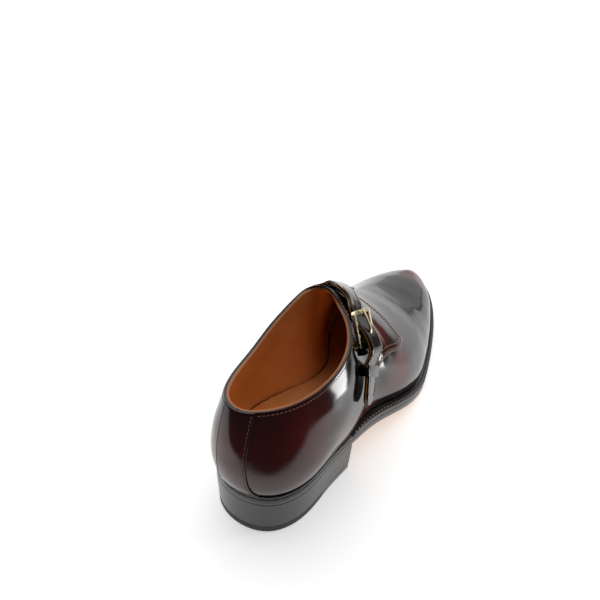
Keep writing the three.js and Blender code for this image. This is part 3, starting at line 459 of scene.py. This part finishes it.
def soft_wall(side, shares, ups):
    """The form's wall and its normal, eased where the rim turns into the ridge"""
    shares, ups = np.broadcast_arrays(np.asarray(shares, float), np.asarray(ups, float))
    nearness = np.exp(-((shares - COLLAR_SHARE) / TURN_REACH / 1.5) ** 2)
    reach = TURN_REACH * nearness * (1 - ease(0.8, 1.0, ups))
    near = [np.clip(shares + step * reach, 0, 1) for step in (-1, -0.6, -0.2, 0.2, 0.6, 1)]
    flat = np.mean([wall_point(side, share, ups) for share in near], axis=0)
    return flat, unit(np.mean([wall_normal(side, share, ups) for share in near], axis=0))


def crease(side, shares, points):
    """Shallow folds under the rim of the outer quarter, where the ankle bends the leather"""
    if side < 0:
        return 0
    run = points[..., 2] + 0.6 * points[..., 1]
    nearness = np.exp(-((shares - CREASE_AT) / CREASE_REACH) ** 2)
    return CREASE_DEPTH * nearness * np.sin(2 * math.pi * run / CREASE_PITCH)


def leather_points(side, shares, ups, height):
    shares, ups = np.broadcast_arrays(shares, ups)
    flat, normals = soft_wall(side, shares, ups)
    return flat + normals * (height + wave(flat) + crease(side, shares, flat))[..., None]


upper_shares = np.concatenate([
    np.linspace(0, COLLAR_SHARE, RIM_COLUMNS), np.linspace(COLLAR_SHARE, 1, RIDGE_COLUMNS)[1:]])
upper_ups = np.linspace(0, 1, UPPER_ROWS + 1)
lateral_points = leather_points(1, upper_shares[None, :], upper_ups[:, None], UPPER_OUTSIDE)
medial_points = leather_points(-1, upper_shares[None, :], upper_ups[:, None], UPPER_OUTSIDE)
for column in (0, -1):
    medial_points[:, column] = lateral_points[:, column]
closed_top = upper_shares >= COLLAR_SHARE
medial_points[-1, closed_top] = lateral_points[-1, closed_top]
upper = lay_grid("upper_shell", lateral_points)
lay_grid("upper_half", medial_points[:, ::-1])
upper.select_set(True)
bpy.context.view_layer.objects.active = upper
bpy.ops.object.join()
merge(upper)
wall_leather(upper, UPPER_WALL, calf, lining, orange_edge, 0.5)
belongs(upper, "upper", "upper")

# The quarters
# Two panels of the same calf over the vamp, closed at the back and stitched down along their
# front seams. Their cut edges are dressed black, so each shows as a thin dark line.
# A seam is given by the share of the way from heel to toe, and by how far up the wall it lies.
QUARTER = 1.46
RIDGE_MARGIN = 0.002
QUARTER_ROWS = 36
LATERAL_SEAM = [
    (0.245, 0.00), (0.262, 0.07), (0.280, 0.16), (0.320, 0.25), (0.359, 0.315), (0.399, 0.370),
    (0.448, 0.395), (0.480, 0.400), (0.495, 0.410), (0.520, 0.470),
]
MEDIAL_SEAM = [
    (0.265, 0.00), (0.300, 0.11), (0.336, 0.23), (0.390, 0.36), (0.441, 0.48), (0.495, 0.66),
    (0.550, 0.84), (0.610, 0.960),
]


def seam_up(seam, share):
    return np.maximum(np.interp(share, [row[0] for row in seam], [row[1] for row in seam]), 0)


def softened(seam, share):
    near = [seam_up(seam, share + step) for step in (-0.008, -0.004, 0, 0.004, 0.008)]
    return np.mean(near, axis=0)


def quarter(name, side, seam, slot):
    first, last = seam[0][0], seam[-1][0]
    shares = np.concatenate([np.linspace(0.0015, first, 40), np.linspace(first, last, 60)[1:]])
    foot = np.where(shares <= first, 0, softened(seam, shares))
    head = np.where(shares < COLLAR_SHARE, 1, 1 - RIDGE_MARGIN)
    ups = foot + (head - foot) * np.linspace(0, 1, QUARTER_ROWS + 1)[:, None]
    points = leather_points(side, np.broadcast_to(shares, ups.shape), ups, 0.0)
    piece = lay_grid(name, points if side > 0 else points[:, ::-1])
    wall_leather(piece, QUARTER, calf, lining, black_edge, 0.35)
    belongs(piece, slot, slot)
    return piece


quarter("outer_quarter", 1, LATERAL_SEAM, "quarter_lateral")
quarter("inner_quarter", -1, MEDIAL_SEAM, "quarter_medial")

# The back strip
# A narrow strip of calf sewn over the closing seam at the heel, from the rand up to the collar.
STRIP_EDGE = [(0.00, 0.0396), (0.15, 0.0295), (0.35, 0.0235), (0.65, 0.0245), (1.00, 0.0306)]
STRIP_INNER = 0.033
STRIP_HEIGHT = 1.05
STRIP = 1.0
strip_outer = open_spline(STRIP_EDGE, 1)
strip_ups = np.linspace(0, 1, 41)[:, None]
strip_points = np.concatenate([
    leather_points(-1, np.linspace(STRIP_INNER, 0, 9)[None, :-1], strip_ups, STRIP_HEIGHT),
    leather_points(1, np.linspace(0, 1, 9)[None, :] * strip_outer(strip_ups),
                   np.repeat(strip_ups, 9, axis=1), STRIP_HEIGHT)], axis=1)
back_strip = lay_grid("back_strip_cover", strip_points)
wall_leather(back_strip, STRIP, calf, lining, black_edge, 0.3)
belongs(back_strip, "back_strip", "back_strip")

# The tongue
# A soft calf tongue under the strap, lined like the rest, seen only from inside the collar.
TONGUE = 1.6
TONGUE_LIFT = -4.3
TONGUE_END = 0.4615
TONGUE_FRONT = 0.64
TONGUE_HALF = 0.27
tongue_shares = np.linspace(TONGUE_END, TONGUE_FRONT, 30)
tongue_downs = np.linspace(-TONGUE_HALF, TONGUE_HALF, 25)
tongue_points = over_ridge(tongue_shares[None, :], tongue_downs[:, None], TONGUE_LIFT)
tongue = lay_grid("tongue_leather", tongue_points[::-1])
wall_leather(tongue, TONGUE, calf, lining, orange_edge, 0.3)
belongs(tongue, "tongue", "tongue")

# The strap
# Calf folded over an orange core and edge dressed, sewn to the inner quarter. It crosses the
# instep, passes the buckle and the keeper, and its tail stands a little off the outer quarter.
STRAP = 3.0
STRAP_WIDTH = 15.6
STRAP_STEPS = 150
BUCKLE_LENGTH = 24
TAIL_FROM = 0.82

# Over the instep: share and way down of the rear edge, the same of the front edge, and the lift
STRAP_ROWS = [
    (0.385, -0.040, 0.530, -0.19, -3.1), (0.410, -0.035, 0.536, -0.16, -2.8),
    (0.438, -0.020, 0.528, -0.10, 0.3), (0.446, 0.010, 0.512, 0.00, 1.0),
    (0.436, 0.060, 0.497, 0.09, 1.2), (0.408, 0.110, 0.476, 0.16, 1.3),
]

# Along the buckle and the tail: way in buckle lengths, lift in straps, and share of the width
RUN_START = (0.372, 0.30)
RUN_END = (0.276, 0.61)
STRAP_RUN = [
    (-0.50, 0.36, 1.00), (-0.38, 0.36, 1.00), (-0.21, 0.55, 1.00), (-0.06, 1.00, 1.00), (0.06, 1.42, 1.00),
    (0.29, 2.07, 1.00), (0.40, 2.24, 1.00), (0.50, 2.30, 1.00), (0.63, 2.00, 1.00), (0.75, 1.33, 1.00),
    (0.86, 0.80, 1.00), (1.18, 0.80, 1.00), (1.34, 0.80, 1.00), (1.52, 0.80, 0.98), (1.70, 0.82, 0.86),
    (1.83, 0.84, 0.60), (1.90, 0.86, 0.28),
]
run_length = np.linalg.norm(over_ridge(*RUN_END, 0.0) - over_ridge(*RUN_START, 0.0))


def over_run(distance, height):
    way = distance / run_length
    return over_ridge(mix(RUN_START[0], RUN_END[0], way), mix(RUN_START[1], RUN_END[1], way), height)


def run_axes(distance):
    along = unit(over_run(distance + 1, 0.0) - over_run(distance - 1, 0.0))
    across = unit(-np.cross(along, unit(over_run(distance, 1.0) - over_run(distance, 0.0))))
    return along, across, unit(np.cross(along, across))


def strap_rows(section):
    """The strap's cross sections in order, for points given by their place across and their layer"""
    place = np.array([p for p, layer in section])
    layer = np.array([layer for p, layer in section])
    rows = []
    for k in range(2 * len(STRAP_ROWS) - 1):
        row = (np.array(STRAP_ROWS[k // 2]) + np.array(STRAP_ROWS[(k + 1) // 2])) / 2
        rear, rear_down, front, front_down, lift = row
        rows.append(over_ridge(mix(rear, front, place + 0.5), mix(rear_down, front_down, place + 0.5),
                               lift + layer * STRAP))
    for at, lift, width in STRAP_RUN:
        distance = at * BUCKLE_LENGTH
        along, across, out = run_axes(0 if at < TAIL_FROM else distance)
        under = over_run(distance, lift * STRAP)
        rows.append(under + np.outer(place * width * STRAP_WIDTH, across) + np.outer(layer * STRAP, out))
    rows = np.array(rows)
    run = np.concatenate([[0], np.cumsum(np.linalg.norm(np.diff(rows.mean(1), axis=0), axis=1))])
    flat = rows.reshape(len(rows), -1)
    table = [(run[i], *flat[i]) for i in range(len(rows))]
    fine = np.linspace(0, run[-1], STRAP_STEPS)
    columns = [open_spline(table, k + 1)(fine) for k in range(flat.shape[1])]
    return np.stack(columns, -1).reshape(STRAP_STEPS, -1, 3)


top_edge = np.linspace(-0.475, 0.475, 9)
section = ([(p, 1.0) for p in top_edge] + [(0.5, 0.86), (0.5, 0.62), (0.5, 0.38), (0.5, 0.14)]
           + [(p, 0.0) for p in top_edge[::-1]] + [(-0.5, 0.14), (-0.5, 0.38), (-0.5, 0.62), (-0.5, 0.86)])
section.append(section[0])
strap_points = strap_rows(section)
strap = lay_grid("strap_leather", strap_points)
layers = np.broadcast_to(np.array([layer for p, layer in section]), strap_points.shape[:2])
layer_values = strap.data.attributes.new("layer", "FLOAT", "POINT").data
layer_values.foreach_set("value", layers.astype(np.float32).ravel())
merge(strap)
bpy.ops.object.mode_set(mode="EDIT")
bpy.ops.mesh.select_mode(type="EDGE")
bpy.ops.mesh.select_all(action="DESELECT")
bpy.ops.mesh.select_non_manifold()
bpy.ops.mesh.edge_face_add()
bpy.ops.mesh.select_all(action="SELECT")
bpy.ops.mesh.normals_make_consistent(inside=False)
bpy.ops.object.mode_set(mode="OBJECT")


# The strap's edge shows its layers: black calf, the orange core, black calf
def layered_edge(name):
    made = calf.copy()
    made.name = name
    tree = made.node_tree
    shader = next(n for n in tree.nodes if n.type == "BSDF_PRINCIPLED")
    layer = add(tree, "ShaderNodeAttribute", attribute_name="layer")
    ramp = add(tree, "ShaderNodeValToRGB", {"Fac": layer.outputs["Fac"]})
    ramp.color_ramp.interpolation = "CONSTANT"
    ramp.color_ramp.elements[0].color = (0, 0, 0, 1)
    ramp.color_ramp.elements[1].position = 0.40
    ramp.color_ramp.elements[1].color = (1, 1, 1, 1)
    last = ramp.color_ramp.elements.new(0.60)
    last.color = (0, 0, 0, 1)
    outer = shader.inputs["Base Color"].links[0].from_socket
    blend = add(tree, "ShaderNodeMix", {0: ramp.outputs["Color"], MIX_A: outer, MIX_B: linear("#a9692f")},
                data_type="RGBA")
    tree.links.new(blend.outputs[MIX_RESULT], shader.inputs["Base Color"])
    return made


strap.data.materials.append(layered_edge("calf_strap_with_core"))
smooth(strap)
belongs(strap, "strap", "strap")

# The buckle
# A cast brass frame with rounded bars, plated pale gold and polished, and its prong of drawn
# wire. Both turn on the lower bar, which a small folded tab of calf holds to the quarter.


def dressed(name, nodes, roll, material, under=None, segments=2, degrees=50):
    """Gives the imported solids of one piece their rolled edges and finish"""
    bpy.ops.object.select_all(action="DESELECT")
    parts = []
    for node in nodes:
        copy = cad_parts[node].copy()
        copy.data = copy.data.copy()
        copy.parent = None
        copy.data.materials.clear()
        bpy.context.scene.collection.objects.link(copy)
        copy.hide_render = False
        parts.append(copy)
    for copy in parts:
        copy.select_set(True)
    bpy.context.view_layer.objects.active = parts[0]
    if len(parts) > 1:
        bpy.ops.object.join()
    piece = bpy.context.view_layer.objects.active
    piece.name = name
    piece.data.name = name
    merge(piece)
    bpy.ops.object.mode_set(mode="EDIT")
    bpy.ops.mesh.select_all(action="SELECT")
    bpy.ops.mesh.tris_convert_to_quads(
        face_threshold=math.radians(20), shape_threshold=math.radians(80))
    bpy.ops.object.mode_set(mode="OBJECT")
    piece.data.materials.append(material)
    if under:
        piece.data.materials.append(under)
        for face in piece.data.polygons:
            face.material_index = int(face.normal.z < -0.6)
    if roll:
        apply_modifier(piece, "BEVEL", width=roll * MM, segments=segments, limit_method="ANGLE",
                       angle_limit=math.radians(35), use_clamp_overlap=True)
    smooth(piece, degrees)
    return piece


def polished_metal(name, shade, roughness):
    made, tree = new_material(name)
    place = add(tree, "ShaderNodeTexCoord").outputs["Object"]
    marks = add(tree, "ShaderNodeTexNoise", {"Vector": place, "Scale": 700.0, "Detail": 2.0})
    bump = add(tree, "ShaderNodeBump", {
        "Height": marks.outputs["Fac"], "Strength": 0.08, "Distance": 0.00004})
    shader = add(tree, "ShaderNodeBsdfPrincipled", {
        "Base Color": linear(shade), "Metallic": 1.0, "Roughness": roughness, "Normal": bump.outputs[0]})
    finish_material(tree, shader)
    return made


gold = polished_metal("pale_gold_plate", "#fbeac0", 0.24)
buckle = dressed("buckle_polished", ["buckle_frame"], 0.75, gold, segments=3)
belongs(buckle, "buckle_frame", "buckle_frame")
prong = dressed("prong_polished", ["buckle_prong"], 0.45, gold, segments=2)
belongs(prong, "buckle_prong", "buckle_prong")
tab = dressed("tab_leather", ["buckle_tab"], 0.25, calf)
belongs(tab, "buckle_tab", "buckle_tab")
keeper = dressed("keeper_leather", ["strap_keeper"], 0.35, calf)
belongs(keeper, "strap_keeper", "strap_keeper")

# The insole
# Vegetable tanned leather covered by a tan sock that the foot stands on.
insole = dressed("insole_sock", ["insole"], 0.4, lining)
belongs(insole, "insole", "insole")

# The welt and the heel rand
# Strips of black leather round the feather, the welt stitched to the outsole all round the
# forepart with waxed thread, and the rand pegged over the seat.
black_welt = plain_leather("black_welt_leather", "#1d1717", "#120d0d", 0.34, pore=1400.0)
welt = dressed("welt_strip", ["welt"], 0.45, black_welt)
belongs(welt, "welt", "welt")
rand = dressed("rand_strip", ["heel_rand"], 0.45, black_welt)
belongs(rand, "heel_rand", "heel_rand")

# The outsole
# One layer of oak bark leather. Its edge is inked black and hot waxed, its underside left tan.
sole_tan = plain_leather("oak_bark_leather", "#c08a3c", "#a86d28", 0.42, patch=14.0)
sole_edge = plain_leather("inked_sole_edge", "#1c1818", "#120f0f", 0.28, patch=60.0)
outsole = dressed("outsole_leather", ["outsole"], 0.5, sole_edge, under=sole_tan)
belongs(outsole, "outsole", "outsole")


# The heel
# Four lifts of leather stacked and nailed under the seat, inked dark brown, with a last lift of
# black rubber behind and leather in front, joined on a slant.
def stacked_leather(name, shade, darker):
    made, tree = new_material(name)
    place = add(tree, "ShaderNodeTexCoord").outputs["Object"]
    flat = add(tree, "ShaderNodeMapping", {"Vector": place, "Scale": (12.0, 12.0, 420.0)})
    layers = add(tree, "ShaderNodeTexNoise", {"Vector": flat.outputs[0], "Scale": 1.0, "Detail": 3.0})
    ramp = add(tree, "ShaderNodeValToRGB", {"Fac": layers.outputs["Fac"]})
    ramp.color_ramp.elements[0].position, ramp.color_ramp.elements[0].color = 0.35, linear(darker)
    ramp.color_ramp.elements[1].position, ramp.color_ramp.elements[1].color = 0.65, linear(shade)
    bump = add(tree, "ShaderNodeBump", {
        "Height": layers.outputs["Fac"], "Strength": 0.05, "Distance": 0.0001})
    shader = add(tree, "ShaderNodeBsdfPrincipled", {
        "Base Color": ramp.outputs["Color"], "Roughness": 0.3, "Coat Weight": 0.2, "Coat Roughness": 0.2,
        "Normal": bump.outputs[0]})
    finish_material(tree, shader)
    return made


heel_stack = stacked_leather("inked_heel_leather", "#231b1a", "#1d1615")
for k in range(4):
    node = f"heel_lift_{k + 1}"
    lift = dressed(f"lift_{k + 1}_leather", [node], 0.06, heel_stack, segments=1, degrees=20)
    belongs(lift, node, node)
rubber = plain_leather("moulded_rubber", "#26292d", "#1d2023", 0.6, patch=80.0)
toplift_rubber = dressed("toplift_rubber_piece", ["toplift_rubber"], 0.3, rubber)
belongs(toplift_rubber, "toplift_rubber", "toplift_rubber")
toplift_leather = dressed("toplift_leather_piece", ["toplift_leather"], 0.3, heel_stack, under=sole_tan)
belongs(toplift_leather, "toplift_leather", "toplift_leather")


# The stitching
# Waxed linen and polyester thread. Each stitch is a short bead that dips into the leather at
# both ends, drawn thicker than the real 0.4 mm thread so that it shows. A row is given with the
# length of its stitches, their pitch and their width.
def thread(name, shade, roughness=0.6):
    made, tree = new_material(name)
    place = add(tree, "ShaderNodeTexCoord").outputs["Object"]
    twist = add(tree, "ShaderNodeTexNoise", {"Vector": place, "Scale": 2500.0})
    bump = add(tree, "ShaderNodeBump", {"Height": twist.outputs["Fac"], "Strength": 0.4, "Distance": 0.00008})
    shader = add(tree, "ShaderNodeBsdfPrincipled", {
        "Base Color": linear(shade), "Roughness": roughness, "Normal": bump.outputs[0]})
    finish_material(tree, shader)
    return made


brown_thread = thread("brown_waxed_thread", "#83553a")
welt_thread = thread("dark_welt_thread", "#453b36", 0.3)

bpy.ops.object.select_all(action="DESELECT")
bpy.ops.mesh.primitive_uv_sphere_add(segments=6, ring_count=5, radius=1)
bead = bpy.context.object
bead_spots = np.array([v.co[:] for v in bead.data.vertices])
bead_faces = [list(face.vertices) for face in bead.data.polygons]
bpy.data.objects.remove(bead)


def on_line(run, table, distance):
    return np.array([np.interp(distance, run, table[:, k]) for k in range(3)])


def sew(name, rows, stitch, pitch, width, material):
    """Lays one row of stitches along each line of points and normals, all in one mesh"""
    spots, faces = [], []
    for points, normals in rows:
        run = np.concatenate([[0], np.cumsum(np.linalg.norm(np.diff(points, axis=0), axis=1))])
        count = max(int(run[-1] / pitch), 1)
        for middle in (np.arange(count) + 0.5) * run[-1] / count:
            centre = on_line(run, points, middle)
            along = unit(on_line(run, points, middle + stitch / 2)
                         - on_line(run, points, middle - stitch / 2))
            out = on_line(run, normals, middle)
            out = unit(out - along * (out @ along))
            axes = np.array([along * stitch / 2, np.cross(out, along) * width / 2, out * width / 2])
            faces += [[i + len(spots) * len(bead_spots) for i in face] for face in bead_faces]
            spots.append(in_metres(centre + bead_spots[:, [2, 1, 0]] @ axes))
    mesh = bpy.data.meshes.new(name)
    mesh.from_pydata(np.concatenate(spots).tolist(), [], faces)
    mesh.materials.append(material)
    piece = bpy.data.objects.new(name, mesh)
    bpy.context.scene.collection.objects.link(piece)
    bpy.ops.object.select_all(action="DESELECT")
    piece.select_set(True)
    bpy.context.view_layer.objects.active = piece
    bpy.ops.object.mode_set(mode="EDIT")
    bpy.ops.mesh.select_all(action="SELECT")
    bpy.ops.mesh.normals_make_consistent(inside=False)
    bpy.ops.object.mode_set(mode="OBJECT")
    smooth(piece, 80)
    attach(piece, "root")
    return piece


def wall_row(side, shares, ups, height):
    shares, ups = np.broadcast_arrays(np.asarray(shares, float), np.asarray(ups, float))
    return leather_points(side, shares, ups, height), soft_wall(side, shares, ups)[1]


# Rough length and height of the wall, which turn a stitch row's distance from an edge to a share
WALL_RUN = 300
WALL_TALL = 78
ROW_TOP = 0.97
ON_LEATHER = 0.02


def seam_row(side, seam, inside, height=ON_LEATHER):
    """A row a little inside a quarter's seam and up its front edge"""
    shares = np.linspace(seam[0][0] - 0.004, seam[-1][0] - inside / WALL_RUN, 140)
    ups = np.minimum(softened(seam, shares) + inside / WALL_TALL, ROW_TOP)
    front = np.linspace(ups[-1], ROW_TOP, 60)[1:]
    return wall_row(side, np.concatenate([shares, np.full(len(front), shares[-1])]),
                    np.concatenate([ups, front]), height)


def rim_row(side, start, end, below, height=ON_LEATHER):
    shares = np.linspace(start, end, 160)
    tall = np.linalg.norm(wall_point(side, shares, 1.0) - wall_point(side, shares, 0.9), axis=-1) * 10
    return wall_row(side, shares, 1 - below / tall, height)


FIRST_ROW = 1.6
SECOND_ROW = 3.6
BELOW_RIM = 2.2
STRIP_MARGIN = 0.004
sew("outer_seam_stitches",
    [seam_row(1, LATERAL_SEAM, FIRST_ROW), seam_row(1, LATERAL_SEAM, SECOND_ROW)],
    1.9, 2.4, 0.75, brown_thread)
sew("inner_seam_stitches",
    [seam_row(-1, MEDIAL_SEAM, FIRST_ROW), seam_row(-1, MEDIAL_SEAM, SECOND_ROW)],
    1.9, 2.4, 0.75, brown_thread)
sew("collar_stitches",
    [rim_row(1, STRIP_EDGE[-1][1] + STRIP_MARGIN, 0.405, BELOW_RIM),
     rim_row(-1, STRIP_INNER + STRIP_MARGIN, 0.418, BELOW_RIM)], 1.8, 2.3, 0.62, brown_thread)
strip_run = np.linspace(0.02, 0.98, 120)
sew("back_strip_stitches",
    [wall_row(1, strip_outer(strip_run) - STRIP_MARGIN, strip_run, STRIP_HEIGHT + ON_LEATHER),
     wall_row(-1, STRIP_INNER - STRIP_MARGIN, strip_run, STRIP_HEIGHT + ON_LEATHER)],
    1.8, 2.3, 0.6, brown_thread)

STRAP_ROW_PLACE = 0.38
SEWN = slice(4, -9)


def strap_edge_row(place):
    above, below = (strap_rows([(place, layer)])[:, 0] for layer in (1.01, 0.0))
    return above[SEWN], unit(above - below)[SEWN]


sew("strap_stitches", [strap_edge_row(-STRAP_ROW_PLACE), strap_edge_row(STRAP_ROW_PLACE)],
    1.8, 2.3, 0.6, brown_thread)


def welt_row(side):
    line, out, run = inside_line(side, lambda y: ledge(y) * 0.5)
    keep = line[:, 1] > HEEL_LENGTH + 2
    line = line[keep] if side > 0 else line[keep][::-1]
    return np.column_stack([line, welt_top(line[:, 1]) + 0.1])


welt_path = np.concatenate([welt_row(1), welt_row(-1)[1:]])
welt_up = np.tile([0, 0, 1.0], (len(welt_path), 1))
sew("welt_stitches", [(welt_path, welt_up)], 3.0, 3.7, 2.0, welt_thread)

# The heel's nails
# Brass nails driven into the leather of the last lift, in a short row near its inner edge. Their
# heads stand proud of the leather by a twentieth of a millimetre.
NAIL_COUNT = 5
NAIL_LENGTH = 1.2
NAIL_PROUD = 0.05
NAIL_PITCH = 7.5
NAIL_ACROSS = -26
NAIL_FIRST = 4
bpy.ops.object.select_all(action="DESELECT")
nails = []
for k in range(NAIL_COUNT):
    bpy.ops.mesh.primitive_cylinder_add(
        vertices=16, radius=0.8 * MM, depth=NAIL_LENGTH * MM,
        location=(NAIL_ACROSS * MM, (NAIL_FIRST + NAIL_PITCH * k) * MM, (NAIL_LENGTH / 2 - NAIL_PROUD) * MM))
    nails.append(bpy.context.object)
for nail in nails:
    nail.select_set(True)
bpy.context.view_layer.objects.active = nails[0]
bpy.ops.object.join()
nail_row = bpy.context.object
nail_row.name = "heel_nails"
bpy.ops.object.transform_apply(location=True, rotation=True, scale=True)
nail_row.data.materials.append(gold)
apply_modifier(nail_row, "BEVEL", width=0.1 * MM, segments=1, limit_method="ANGLE")
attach(nail_row, "root")

# The studio
# A sheet of white paper under a broad soft light, as in a product picture. The paper also glows a little,
# a painted light that lifts the shoe's shadow on it. It ends just outside the camera's view, behind and
# beside the shoe, where the floor is grey and glows dimmer, so that the glazed leather mirrors light in
# front and dark behind. A low panel makes the streak on the outer quarter.
# The camera is where the photographer stood, above and behind the outer side of the heel.
AZIMUTH, ELEVATION, ROLL = math.radians(29.053), math.radians(35.347), math.radians(2.919)
AHEAD = (-math.sin(AZIMUTH), math.cos(AZIMUTH), 0)
bpy.ops.object.select_all(action="DESELECT")
bpy.ops.mesh.primitive_plane_add(size=14, location=(0, 2.5, 0))
floor = bpy.context.object
floor.name = "studio_floor"
white, tree = new_material("white_paper_painted_glow")
place = add(tree, "ShaderNodeTexCoord").outputs["Object"]
spot = add(tree, "ShaderNodeSeparateXYZ", {"Vector": place})
ahead = add(tree, "ShaderNodeVectorMath", {0: place, 1: AHEAD}, operation="DOT_PRODUCT")
behind = add(tree, "ShaderNodeMapRange", {
    "Value": ahead.outputs["Value"], "From Min": -0.11, "From Max": -0.08}, interpolation_type="SMOOTHSTEP")
beside = add(tree, "ShaderNodeMapRange", {
    "Value": spot.outputs["X"], "From Min": 0.24, "From Max": 0.20}, interpolation_type="SMOOTHSTEP")
paper_and_glow_mask = add(tree, "ShaderNodeMath", {0: behind.outputs[0], 1: beside.outputs[0]}, operation="MULTIPLY")
paper = add(tree, "ShaderNodeValToRGB", {"Fac": paper_and_glow_mask.outputs[0]})
paper.color_ramp.elements[0].color = linear("#5a5a5a")
paper.color_ramp.elements[1].color = linear("#f4f4f4")
# Painted light: the floor glows white where the paper lies, lifting the shoe's shadow on it, and only dimly
# beyond
painted_glow = add(tree, "ShaderNodeValToRGB", {"Fac": paper_and_glow_mask.outputs[0]})
painted_glow.color_ramp.elements[0].color = linear("#202020")
painted_glow.color_ramp.elements[1].color = linear("#ffffff")
finish_material(tree, add(tree, "ShaderNodeBsdfPrincipled", {
    "Base Color": paper.outputs["Color"], "Roughness": 0.9, "Specular IOR Level": 0.1,
    "Emission Color": painted_glow.outputs["Color"], "Emission Strength": 0.4}))
floor.data.materials.append(white)
bpy.ops.object.transform_apply(location=True, rotation=True, scale=True)

world = bpy.data.worlds.new("studio_air")
bpy.context.scene.world = world
world.use_nodes = True
tree = world.node_tree
around = add(tree, "ShaderNodeTexCoord").outputs["Generated"]
toward = add(tree, "ShaderNodeVectorMath", {0: around, 1: AHEAD}, operation="DOT_PRODUCT")
wall = add(tree, "ShaderNodeMapRange", {
    "Value": toward.outputs["Value"], "From Min": -0.2, "From Max": 0.7, "To Min": 0.05, "To Max": 0.8},
    interpolation_type="SMOOTHSTEP")
tree.links.new(wall.outputs[0], tree.nodes["Background"].inputs[0])
tree.nodes["Background"].inputs[1].default_value = 1.0


def lamp(name, kind, place, target, energy, **settings):
    data = bpy.data.lights.new(name, kind)
    data.energy = energy
    for key, value in settings.items():
        setattr(data, key, value)
    made = bpy.data.objects.new(name, data)
    bpy.context.scene.collection.objects.link(made)
    made.location = place
    made.rotation_euler = (Vector(target) - Vector(place)).to_track_quat("-Z", "Y").to_euler()
    return made


lamp("sky_panel", "SUN", (-0.8, 0.7, 2.0), (0, 0.1, 0), 1.9, angle=math.radians(110))
lamp("low_panel", "AREA", (0.228, 0.165, 0.05), (0.034, 0.015, 0.08), 0.3,
     shape="RECTANGLE", size=0.055, size_y=0.12)

CAMERA_PLACE = (0.112574, -0.173898, 0.297798)
back = np.array([math.sin(AZIMUTH) * math.cos(ELEVATION), -math.cos(AZIMUTH) * math.cos(ELEVATION),
                 math.sin(ELEVATION)])
right = np.array([math.cos(AZIMUTH), math.sin(AZIMUTH), 0])
above = np.cross(back, right)
right, above = (math.cos(ROLL) * right + math.sin(ROLL) * above,
                math.cos(ROLL) * above - math.sin(ROLL) * right)
camera = bpy.data.objects.new("camera", bpy.data.cameras.new("camera"))
bpy.context.scene.collection.objects.link(camera)
camera.data.sensor_width = 36
camera.data.lens = 30.7125
camera.data.clip_start = 0.01
axes = np.array([right, above, back]).T
camera.matrix_world = Matrix([(*row, place) for row, place in zip(axes, CAMERA_PLACE)] + [(0, 0, 0, 1)])
bpy.context.scene.camera = camera
bpy.context.scene.view_settings.view_transform = "Standard"
